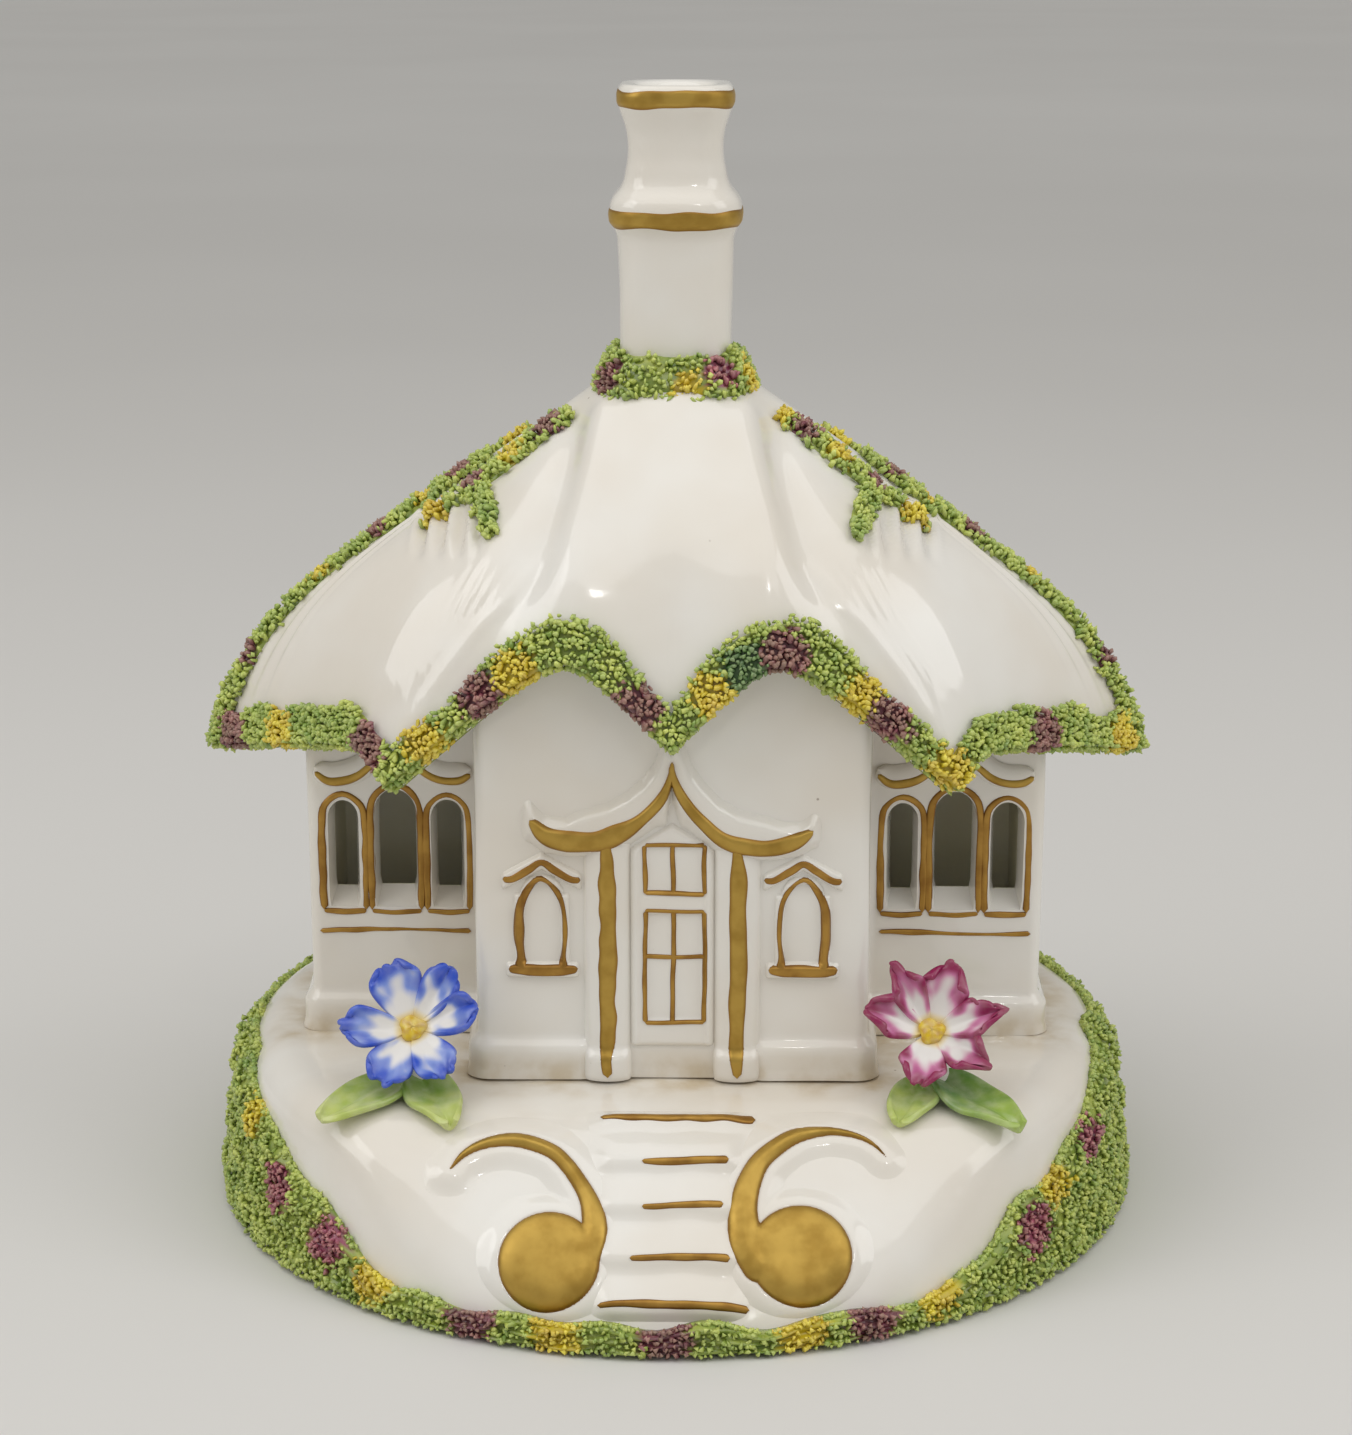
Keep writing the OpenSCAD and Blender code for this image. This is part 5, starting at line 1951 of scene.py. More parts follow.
    def build_column_gold(self, side: Side) -> None:
        """Paint one column's broad stripe.

        Args:
            side: Which of the two columns.
        """
        s = side.value
        path = [(s * self.column_x + 0.15 * math.sin(b), b, half) for b, half in
                ((51.4, 0.66), (49.8, 0.66), (46.6, 1.0), (40, 1.08), (34, 1.1), (28, 1.02), (24.5, 0.8),
                 (21.6, 0.55))]
        stripe = self.stroke(path, 110 + s, 0.12, 0.12)
        Bench.dress(Bench.join(f"column_{side.word}_gold", [stripe]), GOLD, Body.HOUSE,
                    [f"column_{side.word}"])

    def build_door_gold(self) -> None:
        """Paint the door's lights in thin lines."""
        left, middle, right, half = -3.2, 0.1, 3.8, 0.3
        strokes = []
        for k, z in enumerate((50.1, 44.2, 42.0, 36.3, 28.1)):
            bar = [(lerp(left, right, t), z + 0.08 * math.sin(4 * t + k), half) for t in np.linspace(0, 1, 5)]
            strokes.append(self.stroke(bar, 120 + k))
        posts = [(x, *ends) for ends in ((44.2, 50.1), (28.1, 42.0)) for x in (left, middle, right)]
        for k, (x, low, high) in enumerate(posts):
            post = [(x + 0.07 * math.sin(5 * t + k), lerp(low, high, t), half) for t in np.linspace(0, 1, 6)]
            strokes.append(self.stroke(post, 130 + k))
        Bench.dress(Bench.join("door_gold", strokes), THIN_GOLD, Body.HOUSE)

    def build_niche_gold(self, side: Side) -> None:
        """Paint one blind window's outline, sill and hood.

        Args:
            side: Which of the two windows.
        """
        s, x = side.value, side.value * self.niche_x
        arch = [(x + s * dx, z, half) for dx, z, half in
                ((2.6, 34.7, 0.8), (2.55, 36.2, 0.52), (2.8, 39, 0.62), (2.6, 42.4, 0.55),
                 (1.6, 44.6, 0.45), (0.15, 45.9, 0.34), (-1.5, 44.6, 0.36), (-2.5, 42.4, 0.32),
                 (-2.75, 39, 0.3), (-2.5, 36.2, 0.34), (-2.5, 34.7, 0.7))]
        sill = [(x - 4.0, 34.7, 0.55), (x - 2, 34.6, 0.75), (x + 2, 34.5, 0.75), (x + 4.2, 34.7, 0.5)]
        hood = [(x - 4.6, 45.8, 0.38), (x - 3.3, 45.9, 0.45), (x - 1.5, 47.0, 0.5), (x, 47.9, 0.42),
                (x + 1.5, 47.0, 0.5), (x + 3.3, 45.9, 0.45), (x + 4.6, 45.7, 0.36)]
        strokes = [self.stroke(path, 140 + k + s) for k, path in enumerate((arch, sill, hood))]
        Bench.dress(Bench.join(f"blind_window_gold_{side.word}", strokes), THIN_GOLD, Body.HOUSE)

    def build(self) -> None:
        """Mould the porch and paint it."""
        self.build_relief()
        self.build_canopy_gold()
        self.build_door_gold()
        for side in Side:
            self.build_column_gold(side)
            self.build_niche_gold(side)


@dataclass
class WingTrim:
    """Gold round one wing's three windows, its brow and its string line."""

    side: Side
    window_x: float = WINDOW_X
    pitch: float = WINDOW_PITCH
    windows: Sequence[Triple] = ((-1, 2.6, 48.2), (0, 3.05, 48.9), (1, 2.6, 48.2))

    def stroke(self, path: Sequence[Triple], seed: int, dome: float = 0.08) -> Piece:
        """Paint one gold stroke on the wing's wall."""
        return BrushStroke(path, WING_WALL, film=0.14, dome=dome, waver=0.18, seed=seed).build("gold", 60)

    def window(self, x: float, half: float, top: float, seed: int) -> list[Piece]:
        """Outline one window.

        Args:
            x: Middle of the window.
            half: Half-width of the gold line's middle.
            top: Height where the arch springs.
            seed: Choice of the brush's waver.

        Returns:
            The strokes.
        """
        arch = [(x - half, 36.5, 0.44), (x - half - 0.05, 41, 0.48), (x - half, top, 0.46),
                (x - half * 0.72, top + half * 0.85, 0.4), (x, top + half * 1.22, 0.4),
                (x + half * 0.72, top + half * 0.85, 0.4), (x + half, top, 0.42),
                (x + half + 0.05, 41, 0.45), (x + half, 36.5, 0.42)]
        base = [(x - half, 36.4, 0.32), (x, 36.25, 0.38), (x + half, 36.4, 0.32)]
        return [self.stroke(arch, seed), self.stroke(base, seed + 1)]

    def build(self) -> None:
        """Paint the outlines, and mould and paint the brow."""
        s, word = self.side.value, self.side.word
        middle = s * self.window_x
        strokes: list[Piece] = []
        for k, (step, half, top) in enumerate(self.windows):
            strokes += self.window(middle + step * self.pitch, half, top, 150 + 4 * k + s)
        ends = sorted((s * 25.2, s * 43.9))
        string = [(lerp(ends[0], ends[1], t), 33.9 + 0.14 * math.sin(5 * t + s),
                   0.3 + 0.08 * math.sin(7 * t))
                  for t in np.linspace(0, 1, 8)]
        strokes.append(self.stroke(string, 170 + s))
        Bench.dress(Bench.join(f"window_gold_{word}", strokes), THIN_GOLD, Body.HOUSE)
        arc = [(-9.6, 54.4, 0.4), (-8.0, 53.3, 0.62), (-6.0, 53.4, 0.66), (-4.2, 54.1, 0.6),
               (-2.4, 55.5, 0.52), (0, 56.9, 0.45), (2.4, 55.5, 0.5), (4.2, 54.1, 0.55), (6.0, 53.4, 0.6),
               (8.0, 53.4, 0.6), (9.4, 54.2, 0.4)]
        raised = [(middle + a, b + 0.7, half + 1.0) for a, b, half in arc]
        moulding = BrushStroke(raised, WING_WALL, film=0.0, dome=0.8, waver=0.03,
                               seed=175).build(f"brow_moulding_{word}", 80, 14)
        Bench.dress(moulding, CHINA, Body.HOUSE)
        brow = BrushStroke([(middle + a, b, half) for a, b, half in arc], WING_WALL,
                           lambda a, b: level(a, b) + 0.5, film=0.16, dome=0.3, waver=0.12,
                           seed=176).build(f"brow_{word}", 80, 12)
        Bench.dress(brow, GOLD, Body.HOUSE, [f"window_brow_{word}"])


@dataclass
class ChimneyStack:
    """Square chimney with soft cut corners, a gold ring and a gold rim."""

    profile: Sequence[tuple[float, float]] = (
        (6.75, 99.0), (6.7, 104.0), (6.72, 107.1), (6.83, 113.5), (6.95, 117.6), (7.05, 118.8),
        (7.45, 119.7), (7.82, 120.4), (7.9, 121.2), (7.88, 121.9), (7.74, 122.7), (7.3, 123.5),
        (6.62, 124.3), (6.18, 125.3), (5.95, 126.5), (5.72, 127.8), (5.68, 129.4), (5.86, 130.9),
        (6.3, 132.4), (6.74, 133.6), (6.9, 134.3), (6.92, 135.0), (6.84, 135.7), (6.6, 136.2),
        (6.2, 136.38), (5.4, 136.3), (4.7, 136.1), (4.35, 135.4), (4.3, 134.0), (4.3, 120.0), (4.3, 99.0))
    bands: Sequence[tuple[float, float]] = ((119.75, 122.0), (133.7, 135.8))
    roundness: float = 13.0

    def outline(self, turn: Array) -> Array:
        """Give the radius of the soft cut-cornered square of half-width 1.

        Args:
            turn: Bearings in radians.

        Returns:
            Radii.
        """
        total = np.zeros_like(turn)
        for k in range(8):
            reach = 1.0 if k % 2 == 0 else 1.15
            total += np.maximum(np.cos(turn - k * np.pi / 4) / reach, 0) ** self.roundness
        return total ** (-1 / self.roundness)

    def places(self, turn: Array, width: Array, z: Array, square: Array) -> Array:
        """Give places round the chimney, from round to square."""
        r = width * lerp(1.0, self.outline(turn), square)
        return on_ring(r, turn, z)

    def build_stack(self) -> None:
        """Draw the stack up from its foot, over the rim and down the flue."""
        line = through(self.profile, 220)
        length = np.concatenate([[0], np.cumsum(np.hypot(*np.diff(line, axis=0).T))])

        def surface(u: Array, v: Array) -> Array:
            """Follow the profile, square outside and round in the flue.

            Args:
                u: Shares along the grid's first direction.
                v: Shares along its second direction.

            Returns:
                Places in millimetres.
            """
            reach = v * length[-1]
            width, z = np.interp(reach, length, line[:, 0]), np.interp(reach, length, line[:, 1])
            top = length[np.argmax(line[:, 1])]
            square = ease((top + 2.0 - reach) / 2.5)
            wave = 0.07 * round_ripple(8, TAU * u, 9, 91, 0.6 * z) * square
            return self.places(TAU * u, width + wave, z, square)

        stack = Bench.wrap("chimney", 112, 170, surface, closed=True)
        Bench.smooth(stack, 50)
        Bench.dress(stack, CHINA, Body.HOUSE, ["chimney_stack"])

    def build_band(self, low: float, high: float, seed: int) -> Piece:
        """Lay one gold band round the chimney.

        Args:
            low: Height of its lower edge.
            high: Height of its upper edge.
            seed: Choice of the brush's waver.

        Returns:
            The band.
        """
        outside = np.array(self.profile[:24])

        def surface(u: Array, v: Array) -> Array:
            """Follow the outside between two wavering edges, and close behind.

            Args:
                u: Shares along the grid's first direction.
                v: Shares along its second direction.

            Returns:
                Places in millimetres.
            """
            turn = TAU * u
            low_z = low + 0.16 * round_ripple(8, turn, 7.0, seed)
            high_z = high + 0.16 * round_ripple(8, turn, 7.0, seed + 1)
            top = v < 0.801
            share = np.where(top, v / 0.8, 1 - (v - 0.8) / 0.2)
            z = lerp(low_z, high_z, share)
            q = 2 * share - 1
            film = np.where(top, 0.14 * (1 - q**4) - 0.02, -0.4)
            width = np.interp(z, outside[:, 1], outside[:, 0]) + film
            wave = 0.07 * round_ripple(8, turn, 9, 91, 0.6 * z)
            return self.places(turn, width + wave, z, np.ones_like(z))

        band = Bench.wrap("band", 112, 20, surface, closed=True)
        Bench.smooth(band, 60)
        return band

    def build(self) -> None:
        """Make the stack and its bands."""
        self.build_stack()
        bands = [self.build_band(low, high, 95 + 3 * k) for k, (low, high) in enumerate(self.bands)]
        Bench.dress(Bench.join("chimney_gold", bands), GOLD, Body.HOUSE)


class MossTint(Enum):
    """Enamel colours of the moss, each with its light and dark shade."""

    GREEN = (shade(216, 226, 104), shade(118, 158, 50))
    DARK_GREEN = (shade(112, 158, 84), shade(54, 100, 52))
    YELLOW = (shade(248, 230, 50), shade(222, 186, 14))
    MAROON = (shade(166, 86, 104), shade(104, 42, 58))
    PINK = (shade(200, 98, 128), shade(140, 46, 84))


GREEN, DARK_GREEN, YELLOW, MAROON, PINK = MossTint


@dataclass(frozen=True)
class MossPatch:
    """A dab of another colour in the moss."""

    x: float
    y: float
    z: float
    reach: float
    tint: MossTint


@dataclass
class MossCarpet:
    """Shredded clay grains pressed on a bed, each grain with its own enamel."""

    grain_r: float
    sides: int
    stretch: float
    grain_forms: int = 5
    # Scale on the bed's colour: painted shade in the gaps between the grains.
    bed_painted_shade: float = 0.65
    forms: list[tuple[Array, Array]] = field(default_factory=list)

    def __post_init__(self) -> None:
        """Model a few low grains, each stretched and crumpled, to be copied."""
        for k in range(self.grain_forms):
            Bench.pick()
            bpy.ops.mesh.primitive_uv_sphere_add(segments=self.sides, ring_count=3, radius=1.0)
            grain = Bench.named("grain")
            with Bench.editing(grain):
                bpy.ops.mesh.quads_convert_to_tris()
                bpy.ops.transform.resize(value=(1.1 - 0.08 * k, 0.8 + 0.08 * k, self.stretch),
                                         center_override=(0, 0, 0))
                bpy.ops.transform.vertex_random(offset=0.28, uniform=1.0, seed=k + 3)
            faces = np.array([list(p.vertices) for p in grain.data.polygons])
            self.forms.append((Bench.points(grain) * MM, faces))
            bpy.data.objects.remove(grain, do_unlink=True)

    def tints(self, places: Array, patches: Sequence[MossPatch], seed: int) -> Array:
        """Choose every grain's colour.

        Args:
            places: Where the grains are.
            patches: Dabs of other colours over the green.
            seed: Choice of the mixture.

        Returns:
            A colour for every grain.
        """
        draw = np.random.default_rng(seed)
        x, y, z = places.T
        broad = 0.5 + 0.5 * ripple(x + 0.6 * y, 1.4 * z - 0.5 * y, 5.0, seed)
        share = np.clip(lerp(draw.uniform(0, 1, len(places)), broad, 0.55), 0, 1)[:, None]
        tint = blend(*GREEN.value[::-1], share)
        for patch in patches:
            away = np.linalg.norm(places - np.array([patch.x, patch.y, patch.z]), axis=1)
            inside = away < patch.reach * draw.uniform(0.7, 1.15, len(places))
            dab = blend(*patch.tint.value[::-1], share)
            tint = np.where(inside[:, None], dab, tint)
        return tint

    def scatter(self, name: str, places: Array, outs: Array, patches: Sequence[MossPatch], seed: int,
                size: float = 1.0) -> Piece:
        """Copy grains to many places.

        Args:
            name: Name of the new piece.
            places: Where the grains stand.
            outs: Which way each one points.
            patches: Dabs of other colours.
            seed: Choice of turns and sizes.
            size: Scale of all the grains.

        Returns:
            The grains with their colours, darker towards each root as painted shade.
        """
        draw = np.random.default_rng(seed)
        count = len(places)
        lean = outs + draw.normal(0, 0.62, (count, 3))
        up = unit(lean)
        aside = unit(np.cross(up, draw.normal(0, 1, (count, 3))))
        third = np.cross(up, aside)
        big = self.grain_r * size * draw.uniform(0.75, 1.3, (count, 1, 1))
        tint = self.tints(places, patches, seed + 1)
        kind = draw.integers(0, self.grain_forms, count)
        points, faces, colours, start = [], [], [], 0
        for k, (form, net) in enumerate(self.forms):
            here = np.nonzero(kind == k)[0]
            turn = np.stack([aside[here], third[here], up[here]], axis=1)
            body = np.einsum("vi,nij->nvj", form, turn) * big[here] + places[here][:, None, :]
            for axis in (0, 1):
                body[..., axis] = np.clip(body[..., axis], -REACH[axis], REACH[axis])
            body[..., 2] = np.maximum(body[..., 2], 0.02)
            points.append(body.reshape(-1, 3))
            first = start + np.arange(len(here))[:, None, None] * len(form)
            faces.append((net[None] + first).reshape(-1, 3))
            start += len(here) * len(form)
            # Each grain is painted darker towards its root, painted shade where the grains crowd, and
            # slightly lighter at its tip, painted light; the tip is also blended towards cream.
            tip = ease(form[:, 2] / self.stretch / 2 + 0.5)[None, :, None]
            cream = blend(tint[here][:, None, :], shade(236, 238, 178), 0.2 * tip**2)
            colours.append((cream * lerp(0.7, 1.05, tip)).reshape(-1, 3))
        mesh = bpy.data.meshes.new(name)
        mesh.from_pydata((np.vstack(points) * MM).tolist(), [], np.vstack(faces).tolist())
        piece = bpy.data.objects.new(name, mesh)
        bpy.context.scene.collection.objects.link(piece)
        Bench.colour(piece, np.clip(np.vstack(colours), 0, 1))
        return piece

    def finish(self, name: str, bed: Piece, grains: Piece, body: Body,
               nodes: Sequence[str], patches: Sequence[MossPatch]) -> None:
        """Colour the bed darker than the grains, painted shade between them, join the grains to it and dress
        them.

        Args:
            name: Name of the piece.
            bed: The smooth strip under the grains.
            grains: The copied grains.
            body: The body that it moves with.
            nodes: Solids that it replaces.
            patches: Dabs of other colours.
        """
        Bench.colour(bed, self.tints(Bench.points(bed), patches, 7) * self.bed_painted_shade)
        piece = Bench.join(name, [bed, grains])
        Bench.smooth(piece)
        Bench.dress(piece, MOSS, body, nodes)


@dataclass
class BaseMoss:
    """Moss round the mound, low in front of the apron and high round the sides."""

    carpet: MossCarpet
    mound: MoundBase
    spacing: float = 0.71
    spread_r: float = 57.5
    side_length: float = 24.0
    patches: Sequence[MossPatch] = ()

    def top_share(self, y: Array, turn: Array) -> Array:
        """Give how far up the side the moss climbs at each place.

        Args:
            y: Places from front to back.
            turn: Bearings in radians.

        Returns:
            Shares of the way up the side.
        """
        z = np.interp(y, [-57, -47, -38, -13, 57], [2.9, 3.0, 10.2, 19.2, 19.4])
        z = z + 0.7 * round_ripple(30, turn, 7.0, 201)
        return np.interp(z, [0, 16, 17.9, 19.6, 20.6, 21], [0, 0.72, 0.79, 0.87, 0.94, 1.0])

    def tuft(self, turn: Array, climb: Array) -> Array:
        """Give the share of a tuft's height, for a share of the way up the moss.

        Args:
            turn: Bearings in radians.
            climb: Shares of the way up the moss.

        Returns:
            Shares 0..1.
        """
        column, row = turn / TAU * 92, climb * 6
        best = np.zeros_like(turn)
        for k in (1, 3, 5):
            aside = np.abs(column - k // 2 - 2 * np.round((column - k // 2) / 2))
            best = np.maximum(best, np.clip(1.1 - aside, 0, 1) * np.clip(1.1 - np.abs(row - k), 0, 1))
        return ease(best)

    def place(self, turn: Array, share: Array, lift: Array) -> tuple[Array, Array]:
        """Give places over the moss's bed and their outward directions.

        Args:
            turn: Bearings in radians.
            share: Shares of the way up the mound's side.
            lift: Distances out of it in millimetres.

        Returns:
            Places and directions.
        """
        r, z = self.mound.side(share)
        r2, z2 = self.mound.side(share + 0.004)
        slope = np.arctan2(r - r2, z2 - z)
        out = on_ring(np.cos(slope), turn, np.sin(slope))
        return on_ring(r, turn, z) + out * lift[:, None], out

    def build(self) -> None:
        """Lay the bed and press the grains on it."""
        def surface(u: Array, v: Array) -> Array:
            """Go up the bed's outside, over its top and down its back.

            Args:
                u: Shares along the grid's first direction.
                v: Shares along its second direction.

            Returns:
                Places in millimetres.
            """
            turn = TAU * u
            y = self.mound.foot_r * np.sin(turn)
            climb = np.interp(v, [0, 0.7, 0.8, 1.0], [0.012, 1, 1, 0.012])
            share = climb * self.top_share(y, turn)
            lift = np.interp(v, [0, 0.04, 0.66, 0.72, 0.8, 1.0], [0.1, 0.6, 0.6, 0.0, -1.2, -1.2])
            heap = 0.9 * self.tuft(turn, climb) + 0.2 * round_ripple(55, turn, 5.0, 202, 9 * v)
            lift = lift + heap * (v < 0.7)
            return self.place(turn, np.maximum(share, 0.012), lift)[0]

        bed = Bench.wrap("bed", 276, 30, surface, closed=True)
        draw = np.random.default_rng(203)
        around = np.arange(0, TAU * self.spread_r, self.spacing)
        ups = np.arange(0.3, 24.4, self.spacing * 0.86)
        grid_a, grid_s = np.meshgrid(around, ups)
        turn = (grid_a + draw.uniform(-0.5, 0.5, grid_a.shape)).ravel() / self.spread_r
        share = np.clip((grid_s + draw.uniform(-0.4, 0.4, grid_s.shape)).ravel() / self.side_length, 0.012,
                        1.0)
        top = self.top_share(self.mound.foot_r * np.sin(turn), turn)
        keep = share < top * draw.uniform(0.96, 1.03, len(top))
        turn, share, top = turn[keep], share[keep], top[keep]
        lift = 0.85 + 0.95 * self.tuft(turn, share / top) + draw.uniform(-0.15, 0.35, len(turn))
        lift = lift - 0.45 * ease((share / top - 0.9) / 0.1)
        lift = np.minimum(lift, REACH[1] - 0.45 - self.mound.side(share)[0])
        places, outs = self.place(turn, share, lift)
        crest = draw.uniform(0, TAU, 2200)
        rim, rim_out = self.place(crest, self.top_share(self.mound.foot_r * np.sin(crest), crest),
                                  draw.uniform(-0.2, 0.6, len(crest)))
        rim_out = rim_out + np.array([0, 0, 1.2])
        places = np.vstack([places, rim])
        outs = np.vstack([outs, unit(rim_out)])
        grains = self.carpet.scatter("grains", places, outs, self.patches, 204)
        self.carpet.finish("moss_round_base", bed, grains, Body.BASE, ["base_moss"], self.patches)


@dataclass
class RoofMoss:
    """Moss on the roof: along the eaves, down the ribs and hips, and round the chimney."""

    carpet: MossCarpet
    roof: DrapedRoof
    eave_patches: Sequence[MossPatch] = ()
    spacing: float = 0.62

    def ladder(self, w: Array) -> tuple[Array, Array]:
        """Tabulate distances up from the rim.

        Args:
            w: Places round the roof.

        Returns:
            Shares of the way down, and the distance up from the rim for each.
        """
        shares = np.linspace(0.72, 1.0, RUNGS)
        grid = self.roof.point(np.repeat(w, RUNGS), np.tile(shares, len(w)),
                               np.zeros(RUNGS * len(w)), False)
        steps = np.linalg.norm(np.diff(grid.reshape(len(w), RUNGS, 3), axis=1), axis=2)
        up = np.concatenate([np.cumsum(steps[:, ::-1], axis=1)[:, ::-1], np.zeros((len(w), 1))], axis=1)
        return shares, up

    def share_at(self, w: Array, distance: Array) -> Array:
        """Give the share of the way down at distances up from the rim."""
        shares, up = self.ladder(w)
        return np.array([np.interp(d, row[::-1], shares[::-1]) for d, row in zip(distance, up)])

    def build_eaves(self) -> None:
        """Lay moss along the whole rim."""
        around = np.linspace(0, 8, 961)
        turn = around * np.pi / 4
        high = 4.3 + 0.7 * round_ripple(38, turn, 9.0, 211)
        high *= 1 + 0.4 * self.roof.pick(self.roof.crown, around)
        high[-1] = high[0]
        high_t = self.share_at(around, high)

        def surface(u: Array, v: Array) -> Array:
            """Go from the upper edge down to the rim, under it and back.

            Args:
                u: Shares along the grid's first direction.
                v: Shares along its second direction.

            Returns:
                Places in millimetres.
            """
            w = 8 * u
            top = np.interp(w, around, high_t)
            t = lerp(top, 1.0, np.interp(v, [0, 0.55, 0.75, 1.0], [0, 1, 1, 0]))
            depth = np.interp(v, [0, 0.55, 0.75, 1.0], [0, 0, 1.0, 0.6])
            lift = np.interp(v, [0, 0.1, 0.5, 0.62, 0.8, 1.0], [-0.2, 0.3, 0.45, 0.2, -0.2, -0.2])
            places = self.roof.point(w, t, depth)
            return places + self.roof.normal(w, t) * lift[:, None]

        bed = Bench.wrap("bed", 480, 20, surface, closed=True)
        draw = np.random.default_rng(212)
        w = draw.uniform(0, 8, 70000)
        eave = self.roof.pick(self.roof.eave, w)
        nearby = self.roof.pick(self.roof.eave, w + 0.01)
        pace = np.linalg.norm(nearby - eave, axis=1) / 0.01
        w = w[draw.uniform(0, pace.max(), len(w)) < pace]
        distance = draw.uniform(-0.7, 1.0, len(w)) * 7.2
        distance = np.where(distance < -1.1, draw.uniform(0, 6.8, len(w)), distance)
        limit = np.interp(w, around, high) * draw.uniform(0.92, 1.08, len(w))
        keep = distance < limit
        w, distance = w[keep], distance[keep]
        t = self.share_at(w, np.maximum(distance, 0))
        depth = np.clip(-distance / 1.1, 0, 1) * 0.7
        outs = self.roof.normal(w, t)
        outs[:, 2] -= 1.3 * (distance < 0)
        outs = unit(outs)
        places = self.roof.point(w, t, depth) + outs * np.where(distance < 0, 0.25, 0.8)[:, None]
        order = self.thin(places, self.spacing)
        places, outs = places[order], outs[order]
        places[:, 0] = np.clip(places[:, 0], 0.6 - REACH[0], REACH[0] - 0.6)
        grains = self.carpet.scatter("grains", places, outs, self.eave_patches, 213)
        self.carpet.finish("moss_on_eaves", bed, grains, Body.HOUSE, ["eaves_moss"], self.eave_patches)

    @staticmethod
    def thin(places: Array, gap: float) -> Array:
        """Keep places that are not crowded.

        Args:
            places: Candidate places.
            gap: Size of the cells, of which each keeps one place.

        Returns:
            Numbers of the places that stay.
        """
        cells = np.floor(places / gap).astype(int)
        return np.sort(np.unique(cells, axis=0, return_index=True)[1])

    def track(self, path: Sequence[Triple]) -> tuple[Array, Array, float]:
        """Follow a garland's path over the roof.

        Args:
            path: Places round, shares down and half-widths along it.

        Returns:
            Many such places, how place and share change for a millimetre aside at each, and the length.
        """
        line = through(path, TRACK_ROWS)
        w, t, flat = line[:, 0], line[:, 1], np.zeros(TRACK_ROWS)
        ahead = np.gradient(self.roof.point(w, t, flat, False), axis=0)
        pace = np.linalg.norm(ahead, axis=1)
        aside = np.cross(self.roof.normal(w, t), ahead / pace[:, None])
        step_w = self.roof.point(w + 0.02, t, flat, False) - self.roof.point(w - 0.02, t, flat, False)
        step_t = self.roof.point(w, t + 0.01, flat, False) - self.roof.point(w, t - 0.01, flat, False)
        steps = np.stack([step_w / 0.04, step_t / 0.02], axis=2)
        drift = np.einsum("nij,nj->ni", np.linalg.pinv(steps), aside)
        return line, drift, float(pace.sum())

    def beside(self, track: Array, spot: Array, q: Array, lift: Array) -> tuple[Array, Array]:
        """Give places beside a followed path.

        Args:
            track: Place, share, half-width and their change aside, along the path.
            spot: How far along, counted in rows of the track.
            q: How far aside, -1 to 1 over the width.
            lift: How far above the roof, in millimetres.

        Returns:
            The places and the roof's outward directions there.
        """
        w, t, half, drift_w, drift_t = (np.interp(spot, np.arange(len(track)), column)
                                        for column in track.T)
        w, t = w + drift_w * half * q, np.clip(t + drift_t * half * q, 0.02, 0.99)
        out = self.roof.normal(w, t)
        return self.roof.point(w, t, np.zeros_like(t)) + out * lift[:, None], out

    def build_strip(self, name: str, node: str, paths: Sequence[Sequence[Triple]],
                    patches: Sequence[MossPatch], seed: int) -> None:
        """Lay one garland along paths on the roof.

        Args:
            name: Name of the piece.
            node: Solid that it replaces.
            paths: Places round, shares down and half-widths along each path.
            patches: Dabs of other colours.
            seed: Choice of the grains.
        """
        draw = np.random.default_rng(seed)
        last = TRACK_ROWS - 1
        beds, places, outs = [], [], []
        for path in paths:
            line, drift, length = self.track(path)
            track = np.column_stack([line, drift])

            def strip(u: Array, v: Array, track: Array = track) -> Array:
                """Give a low rounded strip along the path.

                Args:
                    u: Shares along the path.
                    v: Shares round the strip.
                    track: The followed path.

                Returns:
                    Places in millimetres.
                """
                spot, turn = u * last, TAU * v
                wide = 0.8 * np.sqrt(np.clip(1 - (2 * u - 1) ** 8, 0, 1)) * np.cos(turn)
                return self.beside(track, spot, wide, 0.55 * np.sin(turn) - 0.1)[0]

            bed = Bench.wrap("bed", 40, 14, strip, closed=True)
            beds.append(bed)
            count = int(length * 2 * line[:, 2].mean() / 0.12)
            spot, q = draw.uniform(0, last, count), draw.uniform(-1, 1, count)
            ragged = 1.0 + 0.22 * ripple(spot * length / last, np.sign(q) * 9, 3.2, seed)
            lift = 0.2 + 0.7 * np.sqrt(np.maximum(1 - q * q, 0)) + draw.uniform(-0.1, 0.3, count)
            place, out = self.beside(track, spot, q * ragged, lift)
            places.append(place)
            outs.append(out)
        places, outs = np.vstack(places), np.vstack(outs)
        order = self.thin(places, self.spacing)
        grains = self.carpet.scatter("grains", places[order], outs[order], patches, seed + 1)
        bed = Bench.join("bed", beds)
        self.carpet.finish(name, bed, grains, Body.HOUSE, [node], patches)

    def dabs(self, marks: Sequence[tuple[float, float, float, MossTint]]) -> list[MossPatch]:
        """Turn marks given by place round, share down and reach into dabs."""
        return [MossPatch(*self.roof.point(np.array([w]), np.array([t]), np.zeros(1))[0], reach, tint)
                for w, t, reach, tint in marks]

